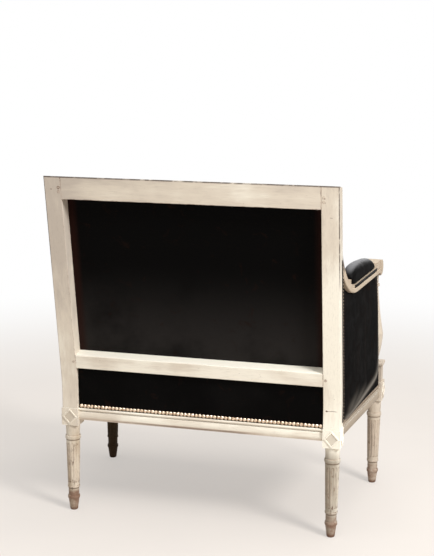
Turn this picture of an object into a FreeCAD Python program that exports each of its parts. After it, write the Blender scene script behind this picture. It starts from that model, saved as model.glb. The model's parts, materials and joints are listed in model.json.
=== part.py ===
import FreeCAD, Part
import math
import os

# A closed-arm bergère chair: painted frame, black leather, loose seat cushion.
# Lengths in millimetres. The front faces -Y, up is +Z, the floor is Z = 0.
# While the chair is built, Y = 0 is the rear face of the back below its bend,
# and side pieces are drawn on the +X side, then mirrored.

# Whole chair
chair_height = 910.0
back_width = 740.0
front_leg_spacing = 786.0
leg_line_depth = 451.0
back_lean = 100.0
bend_above_die = 60.0
bend_run = 34.0

# Rear posts and the back
post_width = 44.0
post_thickness = 42.0
reveal_depth = 37.0
rebate_width = 14.0
die_proud = 2.0
rear_die_low = 240.0
rear_die_high = 287.0
top_rail_height = 58.0
mid_rail_low = 398.6
mid_rail_height = 36.7
edge_round = 2.5
joint_round = 1.2
top_slope = 10.0
top_front_round = 8.0
groove_inset = 10.0
groove_width = 3.0
groove_depth = 2.0

# Seat frame
rail_low = 255.0
rail_height = 51.0
rail_show = 32.5
rail_thickness = 28.0
rail_inset = 4.0
rail_rebate = 5.5
front_die_width = 48.0
front_die_low = 248.0
front_die_high = 300.0
front_rail_bow = 8.0
corner_block_reach = 66.0

# Joints
tenon_length = 16.0
tenon_thickness = 12.0
tenon_shoulder = 7.0
tenon_clearance = 0.15
spigot_radius = 7.0
spigot_length = 18.0
peg_radius = 3.0
peg_length = 34.0

# Turned legs
leg_top_radius = 18.5
leg_foot_radius = 15.5
leg_collar_radius = 20.5
leg_collar_height = 204.0
leg_ankle_height = 66.0
foot_ring_height = 37.0
foot_end_radius = 10.5
flute_count = 12
flute_radius = 3.1
flute_depth = 1.4
lozenge_raise = 2.0
lozenge_border = 4.0
lozenge_recess = 1.3

# Arms and their supports
arm_width = 38.0
arm_flare = 32.0
arm_low = 614.0
arm_seat_high = 634.0
arm_block_low = 604.0
arm_block_high = 647.0
arm_top_drop = 86.0
arm_sweep_thickness = 45.0
arm_sink = 1.0
arm_tail = 0.09
arm_band_height = 12.0
arm_band_proud = 3.0
arm_pad_setback = 28.0
arm_block_length = 66.0
arm_pad_crown = 48.0
arm_stop_height = 13.0
abacus_low = 348.0
abacus_height = 9.0
baluster_neck_radius = 9.0
baluster_bulge_radius = 22.0
baluster_top_radius = 10.0
baluster_bulge_height = 437.0

# Upholstery
soft_clearance = 0.3
leather = 3.0
wall_thickness = 34.0
wall_crown = 9.0
arm_post_depth = 22.0
arm_post_width = 20.0
strap_width = 60.0
strap_thickness = 1.2
cloth = 0.8
deck_thickness = 20.0
back_pad_crown = 52.0
back_tail_crown = 13.0
lower_panel_set = 12.0
cushion_thickness = 104.0
cushion_crown = 20.0
cushion_back = 72.0
cushion_overhang = 11.0
nail_pitch = 9.8
nail_radius = 4.7
nail_height = 2.6

# Worked out from the sizes above
bend_height = rear_die_high + bend_above_die
lean_angle =math.atan2(back_lean, chair_height - bend_height)
post_outer = back_width / 2
post_inner = post_outer - post_width
die_outer = post_outer + die_proud
rear_leg_x = (post_inner + die_outer) / 2
rear_leg_y = -(post_thickness - die_proud) / 2
rail_high = rail_low + rail_height
rail_show_high = rail_low + rail_show
front_x = front_leg_spacing / 2
front_y = -leg_line_depth
front_half = front_die_width / 2
front_die_inner = front_x - front_half
front_die_back = leg_line_depth - front_half
front_die_front = leg_line_depth + front_half
abacus_high = abacus_low + abacus_height
arm_turn = math.degrees(math.atan2(arm_flare, leg_line_depth))
arm_pad_end = leg_line_depth - arm_block_length
cushion_front = leg_line_depth + cushion_overhang
wall_low = rail_show_high + soft_clearance
wall_front = front_die_back - 1.0
layer_gap = soft_clearance / 3


def vec(x, y, z):
    return FreeCAD.Vector(x, y, z)


def box(x0, x1, y0, y1, z0, z1):
    return Part.makeBox(x1 - x0, y1 - y0, z1 - z0, vec(x0, y0, z0))


def line(a, b):
    return Part.makeLine(a, b)


def arc(a, b, c):
    return Part.Arc(a, b, c).toShape()


def path(points):
    return [line(a, b) for a, b in zip(points, points[1:])]


def face_of(points):
    return Part.Face(Part.makePolygon(points + points[:1]))


def slab_of(edges, x0, x1):
    # A closed side outline, drawn at X = 0, given a thickness along X.
    solid = Part.Face(Part.Wire(edges)).extrude(vec(x1 - x0, 0, 0))
    solid.translate(vec(x0, 0, 0))
    return solid


def turned(edges, x, y):
    # Revolves a closed outline of radius and height about an upright axis.
    solid = Part.Face(Part.Wire(edges)).revolve(vec(0, 0, 0), vec(0, 0, 1), 360)
    solid.translate(vec(x, y, 0))
    return solid


def mirrored(shape):
    return shape.mirror(vec(0, 0, 0), vec(1, 0, 0))


def both_sides(shapes):
    return shapes + [mirrored(shape) for shape in shapes]


def moved(shape, x, y):
    copy = shape.copy()
    copy.translate(vec(x, y, 0))
    return copy


def largest(shape):
    return max(shape.Solids, key=lambda solid: solid.Volume)


# The leaning back

def leaned(shape):
    # Turns a piece drawn upright above the bend to the lean of the back.
    copy = shape.copy()
    copy.rotate(vec(0, 0, bend_height), vec(1, 0, 0), -math.degrees(lean_angle))
    return copy


def along(height):
    # Height in the upright drawing of a point on the leaning rear face.
    return bend_height + (height - bend_height) / math.cos(lean_angle)


def back_point(depth, height, x=0.0):
    # Where a point of the upright drawing comes to lie in the leaning back.
    run = height - bend_height
    y = run * math.sin(lean_angle) - depth * math.cos(lean_angle)
    z = bend_height + run * math.cos(lean_angle) + depth * math.sin(lean_angle)
    return vec(x, y, z)


def bent_slab(x0, x1, depth0, depth1, low, high):
    # Slab that follows the bend of the rear posts, between two depths.
    swing = bend_run / math.tan(lean_angle / 2)
    centre = vec(0, swing, bend_height - bend_run)

    def side(depth):
        def swung(angle):
            reach = swing + depth
            return centre + vec(0, -reach * math.cos(angle), reach * math.sin(angle))

        bend = [swung(0), swung(lean_angle / 2), swung(lean_angle)]
        return [vec(0, -depth, low)] + bend + [back_point(depth, high)]

    rear = side(depth0)
    front = side(depth1)
    edges = [line(rear[0], rear[1]), arc(*rear[1:4]), line(rear[3], rear[4])]
    edges += [line(rear[4], front[4]), line(front[4], front[3]), arc(front[3], front[2], front[1])]
    edges += [line(front[1], front[0]), line(front[0], rear[0])]
    return slab_of(edges, x0, x1)


top_rail_low = along(chair_height - top_rail_height)
mid_low = along(mid_rail_low)
mid_high = along(mid_rail_low + mid_rail_height)
over_top = along(chair_height) + 60


def across_edges(shape, low):
    # Long edges along X that lie above a height.
    return [edge for edge in shape.Edges if edge.BoundBox.XLength > 500 and edge.BoundBox.ZMin > low]


def waste_over_top():
    # All that lies outside the rounded, sloping top of the back.
    cut = box(-500, 500, -500, 500, chair_height, chair_height + 200)
    cut.rotate(vec(0, back_lean, chair_height), vec(1, 0, 0), top_slope)
    head = leaned(box(-450, 450, -post_thickness, 0, top_rail_low, over_top)).cut(cut)
    rear = max(across_edges(head, chair_height - 20), key=lambda edge: edge.BoundBox.YMin)
    head = head.makeFillet(edge_round, [rear])
    front = min(across_edges(head, chair_height - 20), key=lambda edge: edge.BoundBox.YMin)
    head = head.makeFillet(top_front_round, [front])
    return box(-450, 450, -400, 400, chair_height - 30, chair_height + 200).cut(head)


# Tenons, each with the mortise that takes it

def tenon(x0, x1, y0, y1, z0, z1):
    gap = tenon_clearance
    return box(x0, x1, y0, y1, z0, z1), box(x0 - gap, x1 + gap, y0 - gap, y1 + gap, z0 - gap, z1 + gap)


def back_tenon(low, high):
    y0 = -(reveal_depth + tenon_thickness) / 2
    return tenon(post_inner, post_inner + tenon_length, y0, y0 + tenon_thickness, low, high)


def rear_rail_tenon():
    y0 = -rail_inset - (rail_thickness + tenon_thickness) / 2
    return tenon(post_inner, post_inner + tenon_length, y0, y0 + tenon_thickness,
                 rail_low + tenon_shoulder, rear_die_high - tenon_shoulder)


def front_rail_tenon():
    y0 = -front_rail_face + (rail_thickness - tenon_thickness) / 2
    return tenon(front_die_inner, front_die_inner + tenon_length, y0, y0 + tenon_thickness,
                 rail_low + tenon_shoulder, front_die_high - tenon_shoulder)


def side_rail_tenon(face_x, y0, die_high):
    x0 = face_x - (rail_thickness + tenon_thickness) / 2
    return tenon(x0, x0 + tenon_thickness, y0, y0 + tenon_length,
                 rail_low + tenon_shoulder, die_high - tenon_shoulder)


# Seat rails

side_rear_x = die_outer - rail_inset
side_front_x = front_x + front_half - rail_inset - 3.0
side_run = front_die_back - post_thickness
front_rail_face = front_die_front - rail_inset - front_rail_bow
bow_radius = (front_die_inner ** 2 + front_rail_bow ** 2) / (2 * front_rail_bow)
bow_centre = vec(0, bow_radius - front_rail_face - front_rail_bow, 0)


def side_rail_x(depth):
    return side_rear_x + (side_front_x - side_rear_x) * (depth - post_thickness) / side_run


def rail_section(point):
    # Moulded face with a quirk and a bead, then a rebate for the nailed leather.
    # point(out, height) places a section point; out = 0 is the fullest part of the face.
    show = rail_show_high
    edges = [line(point(-rail_thickness, rail_low), point(-3.5, rail_low))]
    edges += [arc(point(-3.5, rail_low), point(0, rail_low + 9), point(-1.2, show - 10))]
    edges += path([point(-1.2, show - 10), point(-3.5, show - 9), point(-3.5, show - 7)])
    edges += [arc(point(-3.5, show - 7), point(0, show - 3.5), point(-3.5, show))]
    edges += path([point(-3.5, show), point(-rail_rebate, show), point(-rail_rebate, rail_high),
                   point(-rail_thickness, rail_high), point(-rail_thickness, rail_low)])
    return Part.Face(Part.Wire(edges))


side_tenon_rear = side_rail_tenon(side_rear_x, -post_thickness, rear_die_high)
side_tenon_front = side_rail_tenon(side_front_x, -front_die_back - tenon_length, front_die_high)


def make_side_rail():
    section = rail_section(lambda out, z: vec(side_rear_x + out, -post_thickness, z))
    rail = section.extrude(vec(side_front_x - side_rear_x, -side_run, 0))
    return rail.fuse([side_tenon_rear[0], side_tenon_front[0]]).removeSplitter()


def make_rear_rail():
    section = rail_section(lambda out, z: vec(-post_inner, out - rail_inset, z))
    rail = section.extrude(vec(2 * post_inner, 0, 0))
    return rail.fuse(both_sides([rear_rail_tenon()[0]])).removeSplitter()


def make_front_rail():
    # The same section swung on a shallow bow between the front dies.
    swing = math.degrees(math.asin((front_die_inner + 6) / bow_radius))
    section = rail_section(lambda out, z: vec(0, bow_centre.y - bow_radius - out, z))
    section.rotate(bow_centre, vec(0, 0, 1), -swing)
    rail = section.revolve(bow_centre, vec(0, 0, 1), 2 * swing)
    rail = rail.common(box(-front_die_inner, front_die_inner, -front_die_front - 50, 0, 0, 500))
    return rail.fuse(both_sides([front_rail_tenon()[0]])).removeSplitter()


# Back rails and pegs

top_tenon = back_tenon(top_rail_low + tenon_shoulder, along(chair_height) - 2 * tenon_shoulder)
mid_tenon = back_tenon(mid_low + tenon_shoulder, mid_high - tenon_shoulder)


def make_pegs():
    # Driven from behind: two through each top rail tenon, one through each mid rail tenon.
    x = post_inner + tenon_length * 0.4
    step = 2 * peg_radius + 5
    middle = top_rail_low + top_rail_height * 0.42
    heights = [middle - step / 2, middle + step / 2, (mid_low + mid_high) / 2]
    starts = [vec(x, 0.6, height) for height in heights]
    return [leaned(Part.makeCylinder(peg_radius, peg_length, start, vec(0, -1, 0))) for start in starts]


def make_top_rail(waste, pegs):
    rail = box(-post_inner, post_inner, -post_thickness, 0, top_rail_low, over_top)
    rebate = box(-post_inner, post_inner, -post_thickness - 1, -reveal_depth,
                 top_rail_low - 1, top_rail_low + rebate_width)
    groove_high = along(chair_height) - groove_inset
    groove = box(-post_inner, post_inner, -post_thickness - 1, groove_depth - post_thickness,
                 groove_high - groove_width, groove_high)
    rail = leaned(rail.cut([rebate, groove])).cut(waste)
    return rail.fuse(both_sides([leaned(top_tenon[0])])).removeSplitter().cut(both_sides(pegs))


def make_mid_rail(pegs):
    rail = box(-post_inner, post_inner, -reveal_depth, 0, mid_low, mid_high)
    rear = [edge for edge in rail.Edges if edge.BoundBox.YMin > -0.01 and edge.BoundBox.XLength > 1]
    rail = leaned(rail.makeFillet(edge_round, rear))
    return rail.fuse(both_sides([leaned(mid_tenon[0])])).removeSplitter().cut(both_sides(pegs))


# Legs and posts

def lozenge(centre, half_wide, half_high, across, out):
    # Raised diamond on a die face: a steep outer edge, a flat border and a sunk field.
    def diamond(inset, lift):
        foot = centre + out * lift
        scale = 1 - inset / half_wide
        side = across * (half_wide * scale)
        rise = vec(0, 0, half_high * scale)
        points = [foot - side, foot - rise, foot + side, foot + rise]
        return Part.makePolygon(points + points[:1])

    inner = 1.0 + lozenge_border
    block = Part.makeLoft([diamond(0.0, -1.0), diamond(0.2, 0.0), diamond(1.0, lozenge_raise)], True, True)
    field = [diamond(inner + 0.8, lozenge_raise - lozenge_recess), diamond(inner - 0.2, lozenge_raise + 0.3)]
    return block.cut(Part.makeLoft(field, True, True))


def make_turned_leg(top):
    # Collar, fluted taper, ankle drum between two rings, and foot.
    collar = leg_collar_height
    ankle = leg_ankle_height
    ring = foot_ring_height
    full = leg_collar_radius
    neck = full - 1.5
    foot = leg_foot_radius
    drum = foot - 1.5
    profile = [(0, 0), (foot_end_radius - 1.5, 0), (foot_end_radius, 2), (drum + 0.5, ring - 5)]
    profile += [(foot + 0.5, ring - 4), (foot + 0.8, ring), (foot + 0.2, ring + 3.5), (drum, ring + 4.5)]
    profile += [(drum + 0.3, ankle - 3), (foot + 0.9, ankle - 2), (foot + 0.9, ankle + 2), (foot, ankle + 3)]
    profile += [(leg_top_radius, collar - 6), (full - 0.6, collar - 5), (full, collar - 2)]
    profile += [(full, collar + 2), (full - 0.8, collar + 4.5), (neck - 1, collar + 5.5)]
    profile += [(neck, top - 4), (neck, top), (0, top), (0, 0)]
    leg = turned(path([vec(radius, 0, height) for radius, height in profile]), 0, 0)

    def flute_point(height):
        share = (height - ankle - 3) / (collar - ankle - 9)
        surface = foot + (leg_top_radius - foot) * share
        return vec(surface + flute_radius - flute_depth, 0, height)

    low = flute_point(ankle + 13)
    high = flute_point(collar - 18)
    flute = Part.makeCylinder(flute_radius, (high - low).Length, low, high - low)
    flute = flute.fuse(Part.makeSphere(flute_radius, high))
    flutes = []
    for index in range(flute_count):
        tool = flute.copy()
        tool.rotate(vec(0, 0, 0), vec(0, 0, 1), 360.0 * (index + 0.5) / flute_count)
        flutes.append(tool)
    return leg.cut(flutes)


def long_edges(shape, x, rear):
    # The rear or the front long edges of a post at one side.
    found = []
    for edge in shape.Edges:
        bounds = edge.BoundBox
        if bounds.XMin < x - 0.01 or bounds.XMax > x + 0.01 or bounds.ZLength < 15:
            continue
        middle = edge.valueAt((edge.FirstParameter + edge.LastParameter) / 2)
        lean = max(0.0, middle.z - bend_height) * math.tan(lean_angle)
        if (lean - middle.y < post_thickness / 2) == rear:
            found.append(edge)
    return found


def make_stile(waste):
    stile = bent_slab(post_inner, post_outer, 0, post_thickness, rear_die_high - 5, over_top)
    rebate = bent_slab(post_inner - 5, post_inner + rebate_width, reveal_depth, post_thickness + 20,
                       rail_high, top_rail_low + rebate_width)
    stile = stile.cut(rebate)
    outer = long_edges(stile, post_outer, True) + long_edges(stile, post_outer, False)
    stile = stile.makeFillet(edge_round, outer)
    stile = stile.makeFillet(joint_round, long_edges(stile, post_inner, True))
    groove_x = post_outer - groove_inset
    groove_high = along(chair_height) - groove_inset
    down = box(groove_x - groove_width, groove_x, -post_thickness - 1, groove_depth - post_thickness,
               along(arm_over_centre.z), groove_high)
    across = box(post_inner - 1, groove_x, -post_thickness - 1, groove_depth - post_thickness,
                 groove_high - groove_width, groove_high)
    return stile.cut([waste, leaned(down), leaned(across)])


def make_rear_post(leg, waste, pegs, arm_socket):
    # Stile, die and leg in one length of wood.
    die = box(post_inner, die_outer, -post_thickness, die_proud, rear_die_low, rear_die_high)
    die = die.makeChamfer(1.5, [edge for edge in die.Edges if edge.BoundBox.XMin > post_outer])
    middle = (rear_die_low + rear_die_high) / 2
    half_wide = post_width / 2 - 1.5
    half_high = (rear_die_high - rear_die_low) / 2 - 1.5
    rear_mark = lozenge(vec(rear_leg_x, die_proud, middle), half_wide, half_high, vec(1, 0, 0), vec(0, 1, 0))
    side_mark = lozenge(vec(die_outer, rear_leg_y, middle), half_wide - 0.5, half_high,
                        vec(0, -1, 0), vec(1, 0, 0))
    post = make_stile(waste).fuse([die, rear_mark, side_mark, moved(leg, rear_leg_x, rear_leg_y)])
    post = post.removeSplitter()
    mortises = [rear_rail_tenon()[1], side_tenon_rear[1], leaned(top_tenon[1]), leaned(mid_tenon[1])]
    return post.cut(mortises + pegs + [arm_socket])


def make_front_leg(leg, support_hole):
    die = box(front_die_inner, front_x + front_half, -front_die_front, -front_die_back,
              front_die_low, front_die_high)
    outer = [edge for edge in die.Edges if edge.BoundBox.XMin > front_x + 1 and edge.BoundBox.ZLength > 1]
    die = die.makeChamfer(1.5, outer)
    middle = (front_die_low + front_die_high) / 2
    half = front_half - 2
    front_mark = lozenge(vec(front_x, -front_die_front, middle), half, half, vec(1, 0, 0), vec(0, -1, 0))
    outer_mark = lozenge(vec(front_x + front_half, front_y, middle), half, half, vec(0, -1, 0), vec(1, 0, 0))
    neck_height = front_die_low - rear_die_low + 4
    neck = Part.makeCylinder(leg_collar_radius - 1.5, neck_height, vec(front_x, front_y, rear_die_low - 2))
    whole = die.fuse([front_mark, outer_mark, neck, moved(leg, front_x, front_y)]).removeSplitter()
    return whole.cut([side_tenon_front[1], front_rail_tenon()[1], support_hole])


# Arms: drawn straight along Y, then turned outward at the post

# The upper sweep is centred at the drop below the top, and set back so that it dies into the post
# where the two run side by side, sunk a little. The tail is the turn of the lower sweep inside the post.

def post_front_y(height):
    return (height - bend_height) * math.tan(lean_angle) - post_thickness / math.cos(lean_angle)


arm_face = post_outer - 0.5
arm_inner = arm_face - arm_width
over_angle = math.pi / 2 - lean_angle
arm_over_radius = chair_height - arm_top_drop - arm_seat_high
arm_under_radius = arm_over_radius + arm_sweep_thickness
arm_end_height = arm_seat_high + arm_over_radius * (1 - math.cos(over_angle))
arm_sweep_end = arm_over_radius * math.sin(over_angle) - post_front_y(arm_end_height) - arm_sink
arm_pad_start = arm_sweep_end - arm_pad_setback
arm_under_centre = vec(0, -arm_sweep_end, arm_low + arm_under_radius)
arm_over_centre = vec(0, -arm_sweep_end, arm_seat_high + arm_over_radius)
under_reach = post_front_y(arm_under_centre.z) + arm_sweep_end
under_meet = math.asin(under_reach * math.cos(lean_angle) / arm_under_radius) - lean_angle
under_angle = under_meet + arm_tail
scroll_radius = (arm_block_high - arm_block_low) / 2
scroll_height = (arm_block_high + arm_block_low) / 2
arm_step = wall_front + 6


def swept(centre, radius, angle):
    # Point behind and below a sweep centre; angle 0 is straight below it.
    return centre + vec(0, radius * math.sin(angle), -radius * math.cos(angle))


def sweep_arc(centre, radius, angle0, angle1):
    middle = swept(centre, radius, (angle0 + angle1) / 2)
    return arc(swept(centre, radius, angle0), middle, swept(centre, radius, angle1))


def flared(shape):
    copy = shape.copy()
    copy.rotate(vec(post_outer, 0, 0), vec(0, 0, 1), arm_turn)
    return copy


def arm_body():
    # Side outline from the post, along the sweep, to the block at the front.
    under_end = swept(arm_under_centre, arm_under_radius, under_angle)
    over_end = swept(arm_over_centre, arm_over_radius, over_angle)
    edges = [line(under_end, over_end), sweep_arc(arm_over_centre, arm_over_radius, over_angle, 0)]
    edges += path([vec(0, -arm_sweep_end, arm_seat_high), vec(0, -arm_pad_end, arm_seat_high),
                   vec(0, -arm_pad_end - 4, arm_block_high), vec(0, front_y, arm_block_high),
                   vec(0, front_y, arm_block_low), vec(0, -arm_step - 8, arm_block_low),
                   vec(0, -arm_step, arm_low), vec(0, -arm_sweep_end, arm_low)])
    edges += [sweep_arc(arm_under_centre, arm_under_radius, 0, under_angle)]
    return slab_of(edges, arm_inner, arm_face)


def arm_band():
    # Moulded band along the lower edge of the outer face.
    inner_radius = arm_under_radius - arm_band_height
    under_end = swept(arm_under_centre, arm_under_radius, under_angle)
    inner_end = swept(arm_under_centre, inner_radius, under_angle)
    band_high = arm_low + arm_band_height
    edges = [sweep_arc(arm_under_centre, arm_under_radius, under_angle, 0)]
    edges += path([vec(0, -arm_sweep_end, arm_low), vec(0, -arm_step, arm_low), vec(0, -arm_step, band_high),
                   vec(0, -arm_sweep_end, band_high)])
    edges += [sweep_arc(arm_under_centre, inner_radius, 0, under_angle), line(inner_end, under_end)]
    band = slab_of(edges, arm_inner + 4, arm_face + arm_band_proud)
    outer = [edge for edge in band.Edges if edge.BoundBox.XMin > arm_face + 1 and edge.BoundBox.YLength > 20]
    return band.makeFillet(edge_round, outer)


def arm_stop():
    # Raised inner moulding of the sweep: stands up behind the pad and dies away up the post.
    start = math.asin((arm_sweep_end - arm_pad_start) / arm_over_radius)
    middle = (start + over_angle) / 2
    over_end = swept(arm_over_centre, arm_over_radius, over_angle)
    foot_radius = arm_over_radius + 6
    crest = swept(arm_over_centre, arm_over_radius, start) + vec(0, 0, arm_stop_height)
    crest_middle = swept(arm_over_centre, arm_over_radius - arm_stop_height * 0.55, middle)
    edges = [sweep_arc(arm_over_centre, foot_radius, start, over_angle)]
    edges += [line(swept(arm_over_centre, foot_radius, over_angle), over_end)]
    edges += [arc(over_end, crest_middle, crest)]
    edges += [line(crest, swept(arm_over_centre, foot_radius, start))]
    return slab_of(edges, arm_inner, arm_face - 9)


def make_arm_blank():
    # Arm with its scroll, narrowed beside the back pad and fitted to the post.
    end = vec(arm_inner, front_y, scroll_height)
    scroll = Part.makeCylinder(scroll_radius, arm_width + 1, end, vec(1, 0, 0))
    eye = Part.makeCylinder(scroll_radius * 0.45, arm_width + 3, end - vec(1.5, 0, 0), vec(1, 0, 0))
    narrow_x = post_inner + rebate_width + 5
    outline = [(arm_inner - 5, 150), (narrow_x, 150), (narrow_x, -10)]
    outline += [(arm_inner, -arm_sweep_end), (arm_inner - 5, -arm_sweep_end)]
    narrowing = face_of([vec(x, y, 500) for x, y in outline]).extrude(vec(0, 0, 500))
    blank = arm_body().fuse([arm_band(), arm_stop(), scroll, eye]).removeSplitter().cut(narrowing)
    behind = bent_slab(post_inner - 80, post_outer + 60, -60, post_thickness, rail_high, over_top)
    return flared(blank).cut(behind)


def arm_dowel(gap):
    # Dowel from the arm into the post, or with a gap the socket for it.
    height = swept(arm_under_centre, arm_under_radius, under_meet).z + spigot_radius + 4
    x = post_outer - post_width * 0.32
    start = vec(x, post_front_y(height) - spigot_length * 0.75, height)
    return Part.makeCylinder(spigot_radius + gap, spigot_length * 1.75 + gap, start, vec(0, 1, 0))


# Arm supports

support_top_x = post_outer + arm_flare - 0.5 - arm_width / 2


def support_foot_spigot(gap):
    low = front_die_high - spigot_length - gap
    return Part.makeCylinder(spigot_radius + gap, spigot_length + gap + 2, vec(front_x, front_y, low))


def support_head_spigot(gap):
    low = arm_block_low - 12
    return Part.makeCylinder(spigot_radius + gap, spigot_length + 12 + gap, vec(support_top_x, front_y, low))


def square_block(half, low, high):
    return box(front_x - half, front_x + half, front_y - half, front_y + half, low, high)


def make_arm_support(blank):
    # Plinth, abacus and a baluster that leans in a little to meet the arm.
    neck = baluster_neck_radius
    full = baluster_bulge_radius
    slim = baluster_top_radius
    bulge = baluster_bulge_height
    ring = arm_block_low - 34

    def at(radius, height):
        return vec(radius, 0, height)

    edges = path([at(0, abacus_high - 4), at(neck + 4, abacus_high - 4), at(neck + 4, abacus_high + 3),
                  at(neck, abacus_high + 5), at(neck, abacus_high + 12)])
    edges += [arc(at(neck, abacus_high + 12), at(full - 3.5, bulge - 28), at(full, bulge))]
    edges += [arc(at(full, bulge), at(full - 4.5, bulge + 34), at(slim + 1, ring - 8))]
    edges += path([at(slim + 1, ring - 8), at(slim, ring), at(slim + 4, ring + 2), at(slim + 4, ring + 8)])
    edges += path([at(slim + 4, ring + 8), at(slim + 1, ring + 10), at(slim + 3, scroll_height)])
    edges += path([at(slim + 3, scroll_height), at(0, scroll_height), at(0, abacus_high - 4)])
    column = turned(edges, front_x, front_y)
    lean = math.degrees(math.atan2(front_x - support_top_x, arm_block_low - abacus_low))
    column.rotate(vec(front_x, front_y, abacus_low), vec(0, 1, 0), -lean)
    column = largest(column.cut(blank))
    plinth = square_block(front_half - 5, front_die_high, abacus_low)
    abacus = square_block(front_half, abacus_low, abacus_high)
    abacus = abacus.makeChamfer(2.0, abacus.Edges)
    whole = plinth.fuse([abacus, column, support_foot_spigot(0), support_head_spigot(0)])
    return whole.removeSplitter()


# Corner blocks, glued between the rails around each die

def make_corner_blocks(front_rail):
    low = rail_low + 6
    reach = corner_block_reach
    rear_depth = rail_inset + rail_thickness
    front_depth = front_rail_face - rail_thickness

    def block(points):
        return face_of([vec(x, -depth, low) for x, depth in points]).extrude(vec(0, 0, rail_height - 12))

    def inner(depth):
        return (side_rail_x(depth) - rail_thickness, depth)

    rear = block([(post_inner, rear_depth), (post_inner, post_thickness), inner(post_thickness),
                  inner(post_thickness + reach), (post_inner - reach, rear_depth)])
    front = block([(front_die_inner, front_depth), (front_die_inner, front_die_back), inner(front_die_back),
                   inner(front_die_back - reach), (front_die_inner - reach, front_depth - front_rail_bow)])
    return both_sides([rear, front.cut(front_rail)])


# Side walls: a twisted slab from the post to the front, under the arm

deck_low = rail_high + 2 * (strap_thickness + layer_gap) + cloth + 2 * soft_clearance
deck_high = deck_low + deck_thickness
wall_rear_x = side_rear_x - rail_rebate + leather + soft_clearance
wall_front_low_x = side_rail_x(wall_front) - rail_rebate + leather + soft_clearance
wall_front_high_x = post_outer + arm_flare * wall_front / leg_line_depth - 6.0
wall_back_clear = post_thickness + soft_clearance
arm_post_front = wall_front - leather - soft_clearance
arm_post_back = arm_post_front - arm_post_depth


def wall_x(depth, height):
    # Outer leather face: straight lines from the post to a front edge that leans in.
    rise = (height - wall_low) / (arm_low - wall_low)
    front = wall_front_low_x + (wall_front_high_x - wall_front_low_x) * rise
    return wall_rear_x + (front - wall_rear_x) * (depth - post_thickness) / (wall_front - post_thickness)


arm_post_x = wall_x(arm_post_back, arm_low) - leather - soft_clearance


def wall_slab(inset0, inset1, depth0, depth1, low, high):
    def outline(height):
        corners = [(depth0, inset0), (depth1, inset0), (depth1, inset1), (depth0, inset1)]
        points = [vec(wall_x(depth, height) - inset, -depth, height) for depth, inset in corners]
        return Part.makePolygon(points + points[:1])

    return Part.makeLoft([outline(low), outline(high)], True, True)


def under_arm(clear_depth, low):
    # The space under the arm, a soft clearance off it, and in front of a depth into the back.
    radius = arm_under_radius + soft_clearance
    high = arm_low - soft_clearance
    front = -wall_front - 5
    edges = [sweep_arc(arm_under_centre, radius, under_angle, 0)]
    edges += path([vec(0, -arm_sweep_end, high), vec(0, front, high), vec(0, front, low), vec(0, 40, low),
                   swept(arm_under_centre, radius, under_angle)])
    return flared(slab_of(edges, 0, 500)).cut(bent_slab(0, 600, -120, clear_depth, low - 10, over_top))


def make_arm_leather(side_rail, front_leg):
    # Outside leather with a return across the front end of the wall.
    outer = wall_slab(0, wall_thickness, -40, wall_front, wall_low, arm_low + 90)
    inner = wall_slab(leather, wall_thickness + 20, -60, wall_front - leather, wall_low - 5, arm_low + 95)
    under_return = box(0, 600, -wall_front - 5, -arm_post_front, 0, rail_high + soft_clearance)
    skin = outer.cut(inner).common(under_arm(wall_back_clear, wall_low))
    return largest(skin.cut([under_return, side_rail, front_leg]))


def make_arm_post():
    # Upholstery post that takes the front edges of the arm leather.
    return box(arm_post_x - arm_post_width, arm_post_x, -arm_post_front, -arm_post_back, rail_high, arm_low)


def make_inside_arm():
    # Fills the wall behind the leather and swells inward.
    low = deck_high + soft_clearance

    def section(height, swell):
        outer = leather + soft_clearance
        rear = -30
        corners = [(rear, outer), (arm_post_front, outer)]
        corners += [(arm_post_front, wall_thickness), (rear, wall_thickness)]
        points = [vec(wall_x(depth, height) - inset, -depth, height) for depth, inset in corners]
        middle = (points[2] + points[3]) * 0.5 - vec(swell, 0, 0)
        inside = arc(points[2], middle, points[3])
        return Part.Wire(path(points[:3]) + [inside, line(points[3], points[0])])

    steps = [(low, 3.0), (low + 70, wall_crown), (arm_low - 90, wall_crown), (arm_low + 60, 2.0)]
    filling = Part.makeLoft([section(height, swell) for height, swell in steps], True, False)
    filling = filling.common(under_arm(post_thickness + 20, low))
    post_room = box(arm_post_x - arm_post_width - soft_clearance, arm_post_x + 40, -arm_post_front - 5,
                    soft_clearance - arm_post_back, rail_high, arm_low)
    return largest(filling.cut(post_room))


def make_arm_rest():
    # Padded rest on the arm: round and high behind, falling toward the front.
    start = arm_pad_start + 2 * soft_clearance
    end = arm_pad_end - 3 * soft_clearance
    middle = (arm_inner + arm_face) / 2

    def section(share, rise, wide):
        depth = start + share * (end - start)
        drop = max(0.0, arm_sweep_end - depth)
        base = arm_over_centre.z - math.sqrt(arm_over_radius ** 2 - drop ** 2) + soft_clearance
        half = wide * (arm_width / 2 - 1.5)
        crown = rise * arm_pad_crown
        left, right = vec(middle - half, -depth, base), vec(middle + half, -depth, base)
        shoulder = vec(0, 0, crown * 0.45)
        over = arc(right + shoulder, vec(middle, -depth, base + crown), left + shoulder)
        return Part.Wire(path([left, right, right + shoulder]) + [over, line(left + shoulder, left)])

    steps = [(0.0, 0.4, 0.72), (0.035, 0.66, 0.9), (0.1, 0.9, 0.98), (0.22, 1.0, 1.0), (0.5, 0.94, 1.0)]
    steps += [(0.8, 0.74, 1.0), (0.94, 0.5, 0.97), (1.0, 0.28, 0.88)]
    return flared(Part.makeLoft([section(*step) for step in steps], True, False))


# Back upholstery, layered in the rebate from behind

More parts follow.
